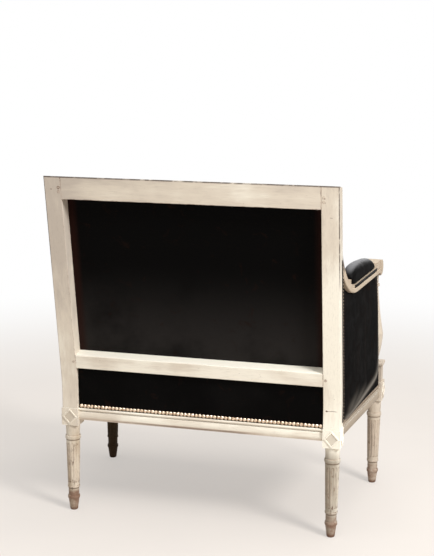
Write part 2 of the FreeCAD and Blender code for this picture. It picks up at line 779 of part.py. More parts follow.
panel_half = post_inner + rebate_width - soft_clearance
panel_low = mid_low + 6
panel_high = top_rail_low + rebate_width - soft_clearance
panel_depth = reveal_depth + soft_clearance
cross_strap_depth = panel_depth + leather * 0.7 + soft_clearance
long_strap_depth = cross_strap_depth + strap_thickness + layer_gap
back_cloth_depth = long_strap_depth + strap_thickness + soft_clearance
back_pad_depth = back_cloth_depth + cloth + soft_clearance


def back_layer(x0, x1, depth, thickness, low, high):
    return leaned(box(x0, x1, -depth - thickness, -depth, low, high))


def make_upper_panel():
    return back_layer(-panel_half, panel_half, panel_depth, leather * 0.7, panel_low, panel_high)


def make_back_webbing():
    straps = []
    half = strap_width / 2
    for index in range(4):
        middle = panel_low + (panel_high - panel_low) * (index + 0.5) / 4
        straps.append(back_layer(3 - panel_half, panel_half - 3, cross_strap_depth, strap_thickness,
                                 middle - half, middle + half))
    for index in range(5):
        middle = panel_half * (2 * index - 4) / 5
        straps.append(back_layer(middle - half, middle + half, long_strap_depth, strap_thickness,
                                 panel_low + 2, panel_high - 2))
    return straps


def make_back_cloth():
    return back_layer(4 - panel_half, panel_half - 4, back_cloth_depth, cloth, panel_low + 3, panel_high - 3)


def make_back_pad():
    # Inside back, crowned both ways and fullest at the small of the back; its thin tail
    # goes down behind the cushion, nearly to the deck.
    half = panel_half - 1
    low = panel_low + 3
    high = panel_high - 2
    tail_low = along(deck_high + 3 - back_pad_depth * math.sin(lean_angle))

    def section(height, crown):
        left, right = vec(-half, -back_pad_depth, height), vec(half, -back_pad_depth, height)
        rim = vec(0, -crown * 0.3, 0)
        over = arc(right + rim, vec(0, -back_pad_depth - crown, height), left + rim)
        return Part.Wire(path([left, right, right + rim]) + [over, line(left + rim, left)])

    sections = [section(tail_low, back_tail_crown), section((tail_low + low) / 2, back_tail_crown)]
    for share, rise in [(0.03, 0.42), (0.13, 0.78), (0.4, 1.0), (0.75, 0.86), (0.93, 0.55), (1.0, 0.24)]:
        sections.append(section(low + share * (high - low), rise * back_pad_crown))
    return leaned(Part.makeLoft(sections, True, False))


lower_half = post_inner - soft_clearance
lower_out = rail_inset + rail_rebate - leather - soft_clearance
lower_top = mid_low - soft_clearance


def make_lower_panel():
    # From the rail rebate up to the underside of the mid rail, a little set in.
    points = [vec(-lower_half, -lower_out, wall_low), back_point(lower_panel_set, lower_top, -lower_half)]
    points += [back_point(lower_panel_set + leather, lower_top, -lower_half)]
    points += [vec(-lower_half, -lower_out - leather, wall_low)]
    return face_of(points).extrude(vec(2 * lower_half, 0, 0))


# Seat upholstery

def make_long_straps():
    straps = []
    low = rail_high + layer_gap
    half = strap_width / 2
    front = rail_thickness - front_rail_face - 8
    rear = 18 - rail_inset - rail_thickness
    for index in range(6):
        middle = (post_inner - 60) * (2 * index - 5) / 5
        straps.append(box(middle - half, middle + half, front, rear, low, low + strap_thickness))
    return straps


def make_cross_straps():
    straps = []
    low = rail_high + strap_thickness + 2 * layer_gap
    for index in range(4):
        middle = post_thickness + 54 + (arm_post_back - post_thickness - 104) * index / 3
        half = strap_width / 2
        reach = side_rail_x(middle - half) - rail_thickness + 16
        straps.append(box(-reach, reach, -middle - half, half - middle, low, low + strap_thickness))
    return straps


def deck_slab(low, high, inset):
    # Plan of the seat: out to the arm leather, stepped in past the upholstery posts.
    rear = post_thickness + soft_clearance + inset
    step = arm_post_back - 1 - inset
    front = front_rail_face - rail_rebate - soft_clearance - 1 - inset
    notch = arm_post_x - arm_post_width - 2 - inset
    front_side = front_die_inner - 1.5 - inset
    side = leather + soft_clearance + inset
    right = [(wall_x(rear, deck_high) - side, rear), (wall_x(step, deck_high) - side, step)]
    right += [(notch, step), (min(notch, front_side), front_die_back - 4), (front_side, front)]
    left = [(-x, depth) for x, depth in reversed(right)]
    return face_of([vec(x, -depth, low) for x, depth in right + left]).extrude(vec(0, 0, high - low))


def make_seat_cloth():
    return deck_slab(deck_low - cloth - soft_clearance, deck_low - soft_clearance, 4.0)


border_half = front_die_inner - 1.5
border_radius = bow_radius - rail_rebate + soft_clearance


def make_front_border():
    # Leather strip nailed along the front rail, up to the top of the deck.
    ring = Part.makeCylinder(border_radius + leather, deck_high - wall_low, vec(0, bow_centre.y, wall_low))
    ring = ring.cut(Part.makeCylinder(border_radius, deck_high, vec(0, bow_centre.y, wall_low - 5)))
    return ring.common(box(-border_half, border_half, -front_die_front - 20, -front_die_back, 0, 500))


def make_seat_cushion():
    # Loose cushion: crowned top, bowed boxing, ends drawn in toward the seams.
    low_face = deck_high + 2 * soft_clearance
    rear_half = wall_x(cushion_back, arm_low) - wall_thickness - wall_crown - 6
    front_half_width = wall_x(wall_front, arm_low) - wall_thickness - 12

    def section(share, fullness, pull):
        y = -cushion_back - share * (cushion_front - cushion_back)
        half = rear_half + (front_half_width - rear_half) * share - pull
        low = low_face + 9 * (1 - fullness)
        side = low_face + cushion_thickness * (0.5 + 0.5 * fullness) - cushion_crown
        middle = (low + side) / 2
        edge = half - 5
        edges = [line(vec(-edge, y, low), vec(edge, y, low))]
        edges += [arc(vec(edge, y, low), vec(half, y, middle), vec(edge, y, side))]
        edges += [arc(vec(edge, y, side), vec(0, y, side + cushion_crown * fullness), vec(-edge, y, side))]
        edges += [arc(vec(-edge, y, side), vec(-half, y, middle), vec(-edge, y, low))]
        return Part.Wire(edges)

    steps = [(0.0, 0.62, 14), (0.06, 0.86, 3), (0.3, 1.0, 0)]
    steps += [(1.0 - share, fullness, pull) for share, fullness, pull in reversed(steps)]
    return Part.makeLoft([section(*step) for step in steps], True, False)


# Brass nails: shallow domes on the leather, along the rebates of the rails

nail_line = rail_show_high + nail_radius + 1.2


def make_nail():
    dome = (nail_radius ** 2 + nail_height ** 2) / (2 * nail_height)
    share = nail_radius * 0.55
    height = nail_height - dome + math.sqrt(dome ** 2 - share ** 2)
    edges = [arc(vec(nail_radius, 0, 0), vec(share, 0, height), vec(0, 0, nail_height))]
    edges += path([vec(0, 0, nail_height), vec(0, 0, 0), vec(nail_radius, 0, 0)])
    return turned(edges, 0, 0)


nail = make_nail()


def nail_at(point, out):
    head = nail.copy()
    head.Placement = FreeCAD.Placement(point, FreeCAD.Rotation(vec(0, 0, 1), out))
    return head


def spaced(start, end):
    count = int((end - start) / nail_pitch) + 1
    return [start + (end - start) * index / (count - 1) for index in range(count)]


def make_rear_nails():
    top = back_point(lower_panel_set, lower_top)
    rise = (nail_line - wall_low) / (top.z - wall_low)
    y = -lower_out + (top.y + lower_out) * rise + layer_gap
    out = vec(0, top.z - wall_low, -lower_out - top.y)
    end = post_inner - nail_radius - 2
    return [nail_at(vec(x, y, nail_line), out) for x in spaced(-end, end)]


def make_side_nails():
    nails = []
    for depth in spaced(post_thickness + nail_radius + 2, wall_front - nail_radius - 4):
        x = wall_x(depth, nail_line)
        slope = wall_x(depth + 1, nail_line) - x
        lean = wall_x(depth, nail_line + 1) - x
        nails.append(nail_at(vec(x + layer_gap, -depth, nail_line), vec(1, slope, -lean)))
    return nails


def make_front_nails():
    nails = []
    reach = border_radius + leather + layer_gap
    end = border_half - nail_radius - 2
    for x in spaced(-end, end):
        out = vec(math.sin(x / reach), -math.cos(x / reach), 0)
        nails.append(nail_at(vec(0, bow_centre.y, nail_line) + out * reach, out))
    return nails


# Putting the chair together

waste = waste_over_top()
pegs = make_pegs()
leg = make_turned_leg(rear_die_low)
arm_blank = make_arm_blank()
rear_post = make_rear_post(leg, waste, pegs, arm_dowel(tenon_clearance))
front_leg = make_front_leg(leg, support_foot_spigot(tenon_clearance))
side_rail = make_side_rail()
front_rail = make_front_rail()

side_pieces = {
    "rear_post": rear_post,
    "side_seat_rail": side_rail,
    "front_leg": front_leg,
    "arm_support": make_arm_support(arm_blank),
    "arm": arm_blank.cut(support_head_spigot(tenon_clearance)).fuse(arm_dowel(0)).removeSplitter(),
    "arm_post": make_arm_post(),
    "outside_arm_panel": make_arm_leather(side_rail, front_leg),
    "inside_arm_pad": make_inside_arm(),
    "arm_rest": make_arm_rest(),
    "side_nails": Part.makeCompound(make_side_nails()),
}
pieces = {
    "top_rail": make_top_rail(waste, pegs),
    "mid_rail": make_mid_rail(pegs),
    "rear_seat_rail": make_rear_rail(),
    "front_seat_rail": front_rail,
    "corner_blocks": Part.makeCompound(make_corner_blocks(front_rail)),
    "joint_pegs": Part.makeCompound(both_sides(pegs)),
    "outside_back_panel": make_upper_panel(),
    "lower_back_panel": make_lower_panel(),
    "back_webbing": Part.makeCompound(make_back_webbing()),
    "back_hessian": make_back_cloth(),
    "inside_back_pad": make_back_pad(),
    "seat_webbing_long": Part.makeCompound(make_long_straps()),
    "seat_webbing_cross": Part.makeCompound(make_cross_straps()),
    "seat_hessian": make_seat_cloth(),
    "seat_deck": deck_slab(deck_low, deck_high, 0.0),
    "front_border": make_front_border(),
    "seat_cushion": make_seat_cushion(),
    "rear_nails": Part.makeCompound(make_rear_nails()),
    "front_nails": Part.makeCompound(make_front_nails()),
}
for name, shape in side_pieces.items():
    pieces[name + "_left"] = shape
    pieces[name + "_right"] = mirrored(shape)

# The origin goes under the middle of the chair's depth.
middle_shift = vec(0, -(rear_post.BoundBox.YMax + front_leg.BoundBox.YMin) / 2, 0)
os.makedirs("parts", exist_ok=True)
for name, shape in pieces.items():
    shape.translate(middle_shift)
    shape.exportStep("parts/" + name + ".step")
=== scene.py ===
import bpy
import bmesh
import json
import math
import numpy as np
from mathutils import Matrix, Vector
from mathutils.bvhtree import BVHTree


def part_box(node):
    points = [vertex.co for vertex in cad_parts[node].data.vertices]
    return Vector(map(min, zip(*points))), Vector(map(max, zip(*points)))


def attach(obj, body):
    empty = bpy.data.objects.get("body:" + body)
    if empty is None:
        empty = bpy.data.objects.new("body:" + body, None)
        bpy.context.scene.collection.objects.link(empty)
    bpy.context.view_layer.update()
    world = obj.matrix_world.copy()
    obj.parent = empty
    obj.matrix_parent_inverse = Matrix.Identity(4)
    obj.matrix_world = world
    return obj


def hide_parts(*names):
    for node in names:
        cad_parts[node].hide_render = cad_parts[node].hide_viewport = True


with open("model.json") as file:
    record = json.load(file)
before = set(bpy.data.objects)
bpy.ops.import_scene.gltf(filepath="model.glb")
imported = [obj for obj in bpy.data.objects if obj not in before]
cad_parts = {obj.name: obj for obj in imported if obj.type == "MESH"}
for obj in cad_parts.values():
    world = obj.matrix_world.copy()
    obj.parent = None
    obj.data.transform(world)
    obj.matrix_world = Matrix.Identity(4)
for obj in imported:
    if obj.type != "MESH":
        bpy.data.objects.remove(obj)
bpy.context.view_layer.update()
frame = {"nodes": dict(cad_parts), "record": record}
cadNodes = frame["nodes"]
scene = bpy.context.scene

# Depths run forward from the plane of the posts' rear faces, which lies behind the middle of the rear feet.
backShape = dict(footInset=0.020, bendHeight=0.347, bendLong=0.068, rise=0.563, run=0.100,
                 postThickness=0.042)
feet = {mount["name"]: mount["pos_m"] for mount in frame["record"]["mounts"]}
rearPlane = feet["foot_rear_left"][1] + backShape["footInset"]
lean = math.atan2(backShape["run"], backShape["rise"])


# Shader helpers

class Wire:
    # One output of a shader node. What is worked out from it adds its nodes to the same tree.
    def __init__(self, tree, socket):
        self.tree = tree
        self.socket = socket

    def calc(self, operation, a, b=0.0, clamp=False):
        return put(self.tree, "ShaderNodeMath", {0: a, 1: b}, operation=operation, use_clamp=clamp)

    def __add__(self, other):
        return self.calc("ADD", self, other)

    def __sub__(self, other):
        return self.calc("SUBTRACT", self, other)

    def __rsub__(self, other):
        return self.calc("SUBTRACT", other, self)

    def __mul__(self, other):
        return self.calc("MULTIPLY", self, other)

    def __truediv__(self, other):
        return self.calc("DIVIDE", self, other)

    def __abs__(self):
        return self.calc("ABSOLUTE", self)

    def sine(self):
        return self.calc("SINE", self)

    def larger(self, other):
        return self.calc("MAXIMUM", self, other)

    def clamped(self):
        return self.calc("ADD", self, 0.0, clamp=True)

    def spread(self, low, high, toLow=0.0, toHigh=1.0, kind="SMOOTHSTEP"):
        # Values from low to high are carried to those from toLow to toHigh, and held beyond.
        inputs = {"Value": self, "From Min": low, "From Max": high, "To Min": toLow, "To Max": toHigh}
        return put(self.tree, "ShaderNodeMapRange", inputs, "Result", interpolation_type=kind)

    def between(self, low, high, soft):
        # One between two values, falling to nought over a soft width on each side.
        return self.spread(low - soft, low) * self.spread(high + soft, high)

    def noise(self, scale, detail=4.0, rough=0.55, warp=0.0):
        inputs = {"Vector": self, "Scale": scale, "Detail": detail, "Roughness": rough, "Distortion": warp}
        return put(self.tree, "ShaderNodeTexNoise", inputs, "Fac")

    def stretched(self, factors):
        return put(self.tree, "ShaderNodeMapping", {"Vector": self, "Scale": factors})

    def parts(self):
        first = put(self.tree, "ShaderNodeSeparateXYZ", {"Vector": self})
        return [Wire(self.tree, output) for output in first.socket.node.outputs]


def feed(node, key, value):
    socket = node.inputs[key]
    if isinstance(value, Wire):
        value.tree.links.new(value.socket, socket)
    elif socket.type == "RGBA":
        socket.default_value = (*value, 1.0)
    else:
        socket.default_value = value


def put(tree, kind, inputs=None, output=0, **settings):
    node = tree.nodes.new(kind)
    for key, value in settings.items():
        setattr(node, key, value)
    for key, value in (inputs or {}).items():
        feed(node, key, value)
    return Wire(tree, node.outputs[output])


def layered(tree, colour, layers):
    # Each layer covers what lies under it by its share; 6, 7 and 2 are the mix's colour inputs and output.
    for share, tone in layers:
        inputs = {0: share, 6: colour, 7: tone}
        colour = put(tree, "ShaderNodeMix", inputs, 2, data_type="RGBA", clamp_factor=True)
    return colour


def shaded(colour, factor):
    return tuple(factor * part for part in colour)


def newFinish(name):
    finish = bpy.data.materials.new(name)
    finish.use_nodes = True
    tree = finish.node_tree
    tree.nodes.clear()
    place = put(tree, "ShaderNodeTexCoord", output="Object")
    surface = put(tree, "ShaderNodeBsdfPrincipled")
    feed(tree.nodes.new("ShaderNodeOutputMaterial"), 0, surface)
    return finish, tree, place, surface.socket.node


def relieve(shader, height, distance, strength, under=None):
    inputs = {"Height": height, "Distance": distance, "Strength": strength}
    if under:
        inputs["Normal"] = under
    bump = put(height.tree, "ShaderNodeBump", inputs)
    feed(shader, "Normal", bump)
    return bump


# Worn cream paint over brown wood: colours, then heights, widths and distances from the middle in metres

paintLook = dict(
    cream=(0.72, 0.64, 0.53), pale=(0.92, 0.87, 0.75), grey=(0.55, 0.48, 0.405), dirt=(0.16, 0.11, 0.075),
    bare=(0.12, 0.055, 0.03), redBrown=(0.33, 0.15, 0.09), legTone=(0.46, 0.355, 0.235),
    footTone=(0.20, 0.108, 0.068), sideTone=(0.36, 0.30, 0.235), fieldTone=(0.50, 0.43, 0.34),
    line=(0.045, 0.028, 0.020), rough=0.58, shine=0.32, stainShine=0.12,
    edge=0.0035, hollow=0.007, dies=(0.241, 0.299), topLine=(0.9050, 0.9080), sideLine=(0.3682, 0.3696),
    sideFace=(0.3692, 0.3699), ringLines=((0.1960, 0.1982), (0.0600, 0.0622)), legs=(0.25, 0.20),
    flecks=(0.20, 0.18), feet=(0.062, 0.050), soles=(0.012, 0.003), aboveDie=(0.29, 0.31),
    aboveArm=(0.62, 0.72), grime=(0.262, 0.246), grimeTurn=(-0.35, 0.25), grimeBrown=(0.08, 0.23))
lozenge = dict(x=0.349, z=0.2635, halfWide=0.0155, halfHigh=0.0170)


def wearLayers(normal, height, patch):
    # Wear where the bevelled normal leaves the true one, but painted highlights on the dies' edges; dirt in
    # the hollows.
    tree, look = normal.tree, paintLook
    bevel = put(tree, "ShaderNodeBevel", {"Radius": look["edge"]}, samples=6)
    turn = put(tree, "ShaderNodeVectorMath", {0: normal, 1: bevel}, "Value", operation="DOT_PRODUCT")
    shade = put(tree, "ShaderNodeAmbientOcclusion", {"Distance": look["hollow"]}, "AO", samples=6,
                only_local=True)
    edge = turn.spread(0.99, 0.86)
    onDie = height.between(*look["dies"], 0.002)
    worn = edge * (1.0 - onDie)
    chipped = worn * patch.spread(0.50, 0.60)
    rubbed = worn * patch.spread(0.36, 0.58, 0.0, 0.55)
    # The last layer is a painted highlight along the dies' edges.
    layers = [(rubbed, look["redBrown"]), (chipped, look["bare"]),
              (shade.spread(0.78, 0.35, 0.0, 0.85), look["dirt"]), (edge * onDie * 0.8, look["pale"])]
    return layers, chipped


def fieldLayer(outward, height):
    # Grey field inside the lozenge: the sum of the two distances from its middle, each over its half size.
    across = abs(outward - lozenge["x"]) / lozenge["halfWide"]
    upward = abs(height - lozenge["z"]) / lozenge["halfHigh"]
    return (across + upward).spread(1.05, 0.9, 0.0, 0.6), paintLook["fieldTone"]


def lineLayers(outward, height, patch):
    # Darker side faces, dark lines in the rings of the legs, dark lines on the outer edges, and worn feet.
    look = paintLook
    onSide = outward.spread(*look["sideFace"]) * height.spread(*look["aboveDie"])
    layers = [(onSide * 0.3, look["sideTone"])]
    for low, high in look["ringLines"]:
        layers.append((height.between(low, high, 0.0008) * 0.75, look["dirt"]))
    # Painted shadow: a dark line down the posts' outer edges above the arms.
    sideLine = outward.between(*look["sideLine"], 0.0006) * height.spread(*look["aboveArm"], 0.1, 1.0)
    edgeLine = height.spread(*look["topLine"]).larger(sideLine)
    foot = height.spread(*look["feet"]) * patch.spread(0.36, 0.58, 0.35, 0.9)
    return layers + [(edgeLine * patch.spread(0.34, 0.52, 0.4, 0.95), look["line"]),
                     (foot, look["footTone"]), (height.spread(*look["soles"], 0.0, 0.8), look["bare"])]


def bandLayers(height, smudge, band):
    # Red wear and flaked paint in a band of heights.
    red = height.between(*band, 0.004) * smudge.spread(0.44, 0.60, 0.0, 0.35)
    flaked = height.between(*band, 0.002) * smudge.spread(0.58, 0.64, 0.0, 0.6)
    return [(red, paintLook["redBrown"]), (flaked, paintLook["bare"])]


def markLayers(place, x, height, marks):
    # Small ragged ellipses of bare wood, given as (x, z, half width, half height, strength).
    layers = []
    for markX, markZ, halfWide, halfHigh, strength in marks:
        wobble = (place.noise(90.0) - 0.5) * 0.004
        across = (x - markX) / halfWide
        upward = (height + wobble - markZ) / halfHigh
        away = across * across + upward * upward
        layers.append((away.spread(1.1, 0.5, 0.0, strength), paintLook["bare"]))
    return layers


def paintedShadeLayer(facingY, height, smudge, shadeTones):
    # Painted shade on the side turned in under the seat, below the die, browner toward the top.
    inward = facingY.spread(*paintLook["grimeTurn"]) * height.spread(*paintLook["grime"])
    dark, brown = shadeTones
    colour = layered(height.tree, dark, [(height.spread(*paintLook["grimeBrown"]), brown)])
    return inward * smudge.spread(0.25, 0.75, 0.98, 0.88), colour


def paintedWood(name, grain, tone=0.0, marks=(), redBand=None, coat=None, fade=None, legShade=1.0,
                paintedTopLight=0.0, shadeTones=None):
    # Brushed paint: the tone comes from three noises and a fade over heights, and layers go over it in turn.
    look = paintLook
    finish, tree, place, shader = newFinish(name)
    normal = put(tree, "ShaderNodeNewGeometry", output="Normal")
    x, _, height = place.parts()
    _, facingY, facingZ = normal.parts()
    outward = abs(x)
    along = place.stretched(grain)
    broad = place.noise(5.5, 3.0)
    smudge = along.noise(22.0, 5.0, 0.6, 0.3)
    strokes = along.noise(95.0, 5.0, 0.62)
    fine = along.noise(420.0, 3.0, 0.6)
    speck = place.noise(230.0, 2.0)
    patch = place.noise(38.0, 6.0, 0.65)
    fleck = place.stretched((1.0, 1.0, 0.3)).noise(150.0, 3.0)
    level = broad * 0.50 + smudge * 0.32 + strokes * 0.18 + tone
    # On the posts this fade is partly painted light and shade.
    if fade:
        level = level + height.spread(*fade)
    # Painted light: faces turned up are made paler.
    if paintedTopLight:
        level = level + facingZ.spread(0.5, 0.9, 0.0, paintedTopLight)
    onLeg = height.spread(*look["legs"]) * smudge.spread(0.62, 0.36, 0.25, 0.8)
    flecked = height.spread(*look["flecks"]) * fleck.spread(0.39, 0.29, 0.0, 0.85)
    wear, chipped = wearLayers(normal, height, patch)
    layers = [(level.spread(0.36, 0.52), look["cream"]), (level.spread(0.50, 0.66), look["pale"]),
              (fine.spread(0.30, 0.50, 0.10, 0.0), look["dirt"]),
              (speck.spread(0.27, 0.22, 0.0, 0.6), look["dirt"]),
              (onLeg, shaded(look["legTone"], legShade)), (flecked, look["dirt"])]
    if coat:
        layers.append((coat["share"], coat["tone"]))
    layers += wear + [fieldLayer(outward, height)] + lineLayers(outward, height, patch)
    if redBand:
        layers += bandLayers(height, smudge, redBand)
    layers += markLayers(place, x, height, marks)
    # Painted shade on the faces turned in under the seat.
    if shadeTones:
        layers.append(paintedShadeLayer(facingY, height, smudge, shadeTones))
    feed(shader, "Base Color", layered(tree, look["grey"], layers))
    feed(shader, "Roughness", strokes.spread(0.3, 0.7, look["rough"] - 0.1, look["rough"] + 0.12))
    feed(shader, "Specular IOR Level", look["stainShine"] if shadeTones else look["shine"])
    relieve(shader, strokes * 0.4 + fine * 0.18 - chipped * 0.5, 0.0006, 0.55)
    return finish


rawLook = dict(dark=(0.24, 0.15, 0.08), light=(0.46, 0.32, 0.19))


def rawWood(name):
    # Unpainted beech: long grain streaks and small flecks.
    finish, tree, place, shader = newFinish(name)
    grain = place.stretched((1.0, 1.0, 0.08)).noise(120.0, 6.0, 0.6, 0.4)
    layers = [(grain.spread(0.32, 0.66), rawLook["light"]),
              (place.noise(350.0, 2.0).spread(0.34, 0.28, 0.0, 0.4), rawLook["dark"])]
    feed(shader, "Base Color", layered(tree, rawLook["dark"], layers))
    feed(shader, "Roughness", grain.spread(0.3, 0.7, 0.62, 0.78))
    relieve(shader, grain, 0.0004, 0.5)
    return finish


# Black leather, browner where it is rubbed

leatherLook = dict(
    black=(0.0016, 0.0014, 0.0013), grey=(0.019, 0.017, 0.016), brown=(0.012, 0.0052, 0.0034),
    streak=(0.020, 0.012, 0.009), rubbed=(0.20, 0.18, 0.155), handGrey=(0.17, 0.17, 0.175),
    rim=(0.020, 0.0065, 0.0045), rimReach=(0.298, 0.318), rubPolish=0.4, rough=0.44, grainScale=520.0,
    pebble=0.0002, fold=0.004)


def blackLeather(name, rough=0.0, wrinkles=1.0, rub=0.5, reflectionHeights=None, shine=0.2, polish=None,
                 streaks=False, topSheen=0.0):
    # Pebble grain from a cell pattern, creases from a warped noise, rubbed grey and brown in patches; with
    # reflection heights the grey is a painted floor reflection instead; with streaks, brown runs up and down
    # and the piece's own rub values polish the folds and paint them paler, partly rubbed leather and partly a
    # painted highlight.
    look = leatherLook
    finish, tree, place, shader = newFinish(name)
    x, _, height = place.parts()
    cells = {"Vector": place, "Scale": look["grainScale"]}
    pebble = put(tree, "ShaderNodeTexVoronoi", cells, "Distance", feature="SMOOTH_F1")
    crease = place.noise(26.0, 8.0, 0.62, 0.9)
    patch = place.noise(6.0, 4.0)
    worn = patch.spread(0.42, 0.68, 0.0, rub)
    # Painted reflection: with reflection heights the grey is the floor's reflection, greyer lower down.
    if reflectionHeights:
        worn = patch.spread(0.20, 0.55) * height.spread(*reflectionHeights)
    layers = [(worn, look["grey"]), (crease.spread(0.58, 0.72, 0.0, 0.5), look["brown"])]
    base = look["rough"] + rough
    matt = crease.spread(0.3, 0.7, base - 0.06, base + 0.10)
    if reflectionHeights:
        layers.append((abs(x).spread(*look["rimReach"], 0.0, 0.7), look["rim"]))
    if streaks:
        runs = place.stretched((1.0, 1.0, 0.06)).noise(70.0, 4.0, 0.6)
        rubbed = put(tree, "ShaderNodeAttribute", output="Fac", attribute_name="rub")
        # The rub colour is partly rubbed leather and partly a painted highlight.
        layers += [(runs.spread(0.48, 0.74, 0.0, 0.25), look["streak"]), (rubbed, look["rubbed"])]
        matt = (matt - rubbed * look["rubPolish"]).clamped()
    if polish:
        # Polished by hands where the leather faces up, dull below; the grey where it faces up is a painted
        # sheen.
        facingZ = put(tree, "ShaderNodeNewGeometry", output="Normal").parts()[2]
        matt = (matt + facingZ.spread(0.15, 0.75, polish, 0.0)).clamped()
        layers.append((facingZ.spread(0.58, 0.98, 0.0, topSheen), look["handGrey"]))
    feed(shader, "Base Color", layered(tree, look["black"], layers))
    feed(shader, "Roughness", matt)
    feed(shader, "Specular IOR Level", shine)
    grain = relieve(shader, pebble, look["pebble"], 0.25)
    relieve(shader, crease, look["fold"] * wrinkles, 0.35, grain)
    return finish


brassLook = dict(bright=(0.86, 0.69, 0.53), dull=(0.46, 0.32, 0.21), rough=0.32, metal=0.85)


def agedBrass(name, shade=1.0):
    # Brass that has dulled in patches.
    finish, tree, place, shader = newFinish(name)
    tarnish = place.noise(160.0, 4.0)
    layers = [(tarnish.spread(0.36, 0.62), shaded(brassLook["bright"], shade))]
    feed(shader, "Base Color", layered(tree, shaded(brassLook["dull"], shade), layers))
    feed(shader, "Roughness", tarnish.spread(0.3, 0.7, brassLook["rough"] + 0.15, brassLook["rough"]))
    feed(shader, "Metallic", brassLook["metal"])
    return finish


juteLook = dict(thread=(0.42, 0.31, 0.18), gap=(0.13, 0.085, 0.045), pitch=0.0026)


def juteWeave(name, first, second):
    # Two sets of thread waves at right angles, on two axes of the object.
    finish, tree, place, shader = newFinish(name)
    turns = [place.parts()[axis] * (2 * math.pi / juteLook["pitch"]) for axis in (first, second)]
    waves = [(turn.sine() + 1.0) * 0.5 for turn in turns]
    weave = waves[0].larger(waves[1])
    hair = place.noise(300.0, 4.0)
    layers = [(weave.spread(0.35, 0.85), juteLook["thread"]),
              (hair.spread(0.35, 0.65, 0.35, 0.0), juteLook["gap"])]
    feed(shader, "Base Color", layered(tree, juteLook["gap"], layers))
    feed(shader, "Roughness", hair.spread(0.3, 0.7, 0.82, 0.95))
    relieve(shader, weave, 0.0006, 0.7)
    return finish


# The finishes: painted wood takes the grain's stretch on the three axes and a tone, a fade is between two
# heights; leather takes roughness, wrinkles and rub

uprightGrain, thinUprightGrain = (1.0, 1.0, 0.10), (1.0, 1.0, 0.12)
crossGrain, lengthGrain = (0.10, 1.0, 1.0), (1.0, 0.12, 1.0)
rightMarks = [(-0.3480, 0.3360, 0.0150, 0.0010, 0.75), (-0.3350, 0.3357, 0.0030, 0.0022, 1.0),
              (-0.3350, 0.8786, 0.0016, 0.0016, 0.9), (-0.3350, 0.8690, 0.0030, 0.0012, 0.8),
              (-0.3500, 0.8330, 0.0045, 0.0014, 0.35)]
leftMarks = [(0.3517, 0.8767, 0.0018, 0.0018, 0.8)]
finishes = dict(
    # The posts' tones and fades are partly painted light and shade: the left post greyer, the right one paler
    # and darker toward its top.
    stileLeft=paintedWood("paintedStileLeft", uprightGrain, -0.06, leftMarks, legShade=0.85,
                          fade=(0.45, 0.62, 0.07, -0.02)),
    stileRight=paintedWood("paintedStileRight", uprightGrain, 0.10, rightMarks, legShade=0.45,
                           fade=(0.60, 0.84, 0.08, -0.14)),
    # Partly painted shade: this finish's darker tone and brown coat dim the front right leg and the arm
    # supports.
    upright=paintedWood("paintedUpright", thinUprightGrain, -0.06, legShade=0.55,
                        coat=dict(tone=(0.42, 0.34, 0.26), share=0.3)),
    # The shaded leg takes painted shade on its faces turned in under the seat.
    shadedLeg=paintedWood("paintedShadedLeg", thinUprightGrain, 0.0, legShade=0.72,
                          shadeTones=((0.028, 0.014, 0.004), (0.15, 0.085, 0.020))),
    crossway=paintedWood("paintedCrossway", crossGrain, -0.07),
    seatRail=paintedWood("paintedSeatRail", crossGrain, 0.08, redBand=(0.2545, 0.2600)),
    # Painted light: the middle rail's faces turned up are paler, and its paler tone is partly painted light.
    midRail=paintedWood("paintedMidRail", crossGrain, 0.14, paintedTopLight=0.3),
    # Partly painted shade: the side rails' dark brown coat.
    lengthway=paintedWood("paintedLengthway", lengthGrain, -0.04,
                          coat=dict(tone=(0.22, 0.165, 0.11), share=0.72)),
    armWood=paintedWood("paintedArm", lengthGrain, -0.06, coat=dict(tone=(0.38, 0.275, 0.155), share=0.6)),
    raw=rawWood("rawBeech"),
    # Painted reflection: the upper back is greyer lower down.
    backLeather=blackLeather("leatherOutsideBack", 0.06, 0.5, reflectionHeights=(0.70, 0.44), shine=0.03),
    lowerLeather=blackLeather("leatherLowerBack", 0.06, 0.5, 0.1, shine=0.03),
    sideLeather=blackLeather("leatherOutsideArm", 0.34, 0.3, 0.1, shine=0.025, streaks=True),
    padLeather=blackLeather("leatherPads", 0.0, 0.8, 0.5, shine=0.25),
    # Painted sheen: grey on the rests' tops.
    restLeather=blackLeather("leatherArmRest", -0.16, 0.02, 0.1, shine=0.045, polish=0.5, topSheen=0.8),
    trimLeather=blackLeather("leatherTrim", 0.0, 0.15, 0.1, shine=0.10, polish=0.3),
    brass=agedBrass("agedBrass"),
    sideBrass=agedBrass("agedBrassSide", 0.5),
    darkBrass=agedBrass("agedBrassDark", 0.35),
    seatJute=juteWeave("juteSeat", 0, 1),
    backJute=juteWeave("juteBack", 0, 2),
)
nodeFinish = dict(
    rear_post_left="stileLeft", rear_post_right="stileRight", top_rail="crossway", mid_rail="midRail",
    rear_seat_rail="seatRail", front_seat_rail="seatRail", side_seat_rail_left="lengthway",
    side_seat_rail_right="lengthway", front_leg_left="shadedLeg", front_leg_right="upright",
    arm_support_left="upright", arm_support_right="upright", arm_left="armWood", arm_right="armWood",
    joint_pegs="upright", arm_post_left="raw", arm_post_right="raw", corner_blocks="raw", rear_nails="brass",
    side_nails_left="sideBrass", side_nails_right="sideBrass", front_nails="brass",
)
for nodeName, finishName in nodeFinish.items():
    cadNodes[nodeName].data.materials.clear()
    cadNodes[nodeName].data.materials.append(finishes[finishName])
print("finishes: painted wood, raw wood, leather, brass and jute are on")


# Mesh helpers

def turnOutward(piece):
    work = bmesh.new()
    work.from_mesh(piece.data)
    bmesh.ops.recalc_face_normals(work, faces=work.faces)
    work.to_mesh(piece.data)
    work.free()


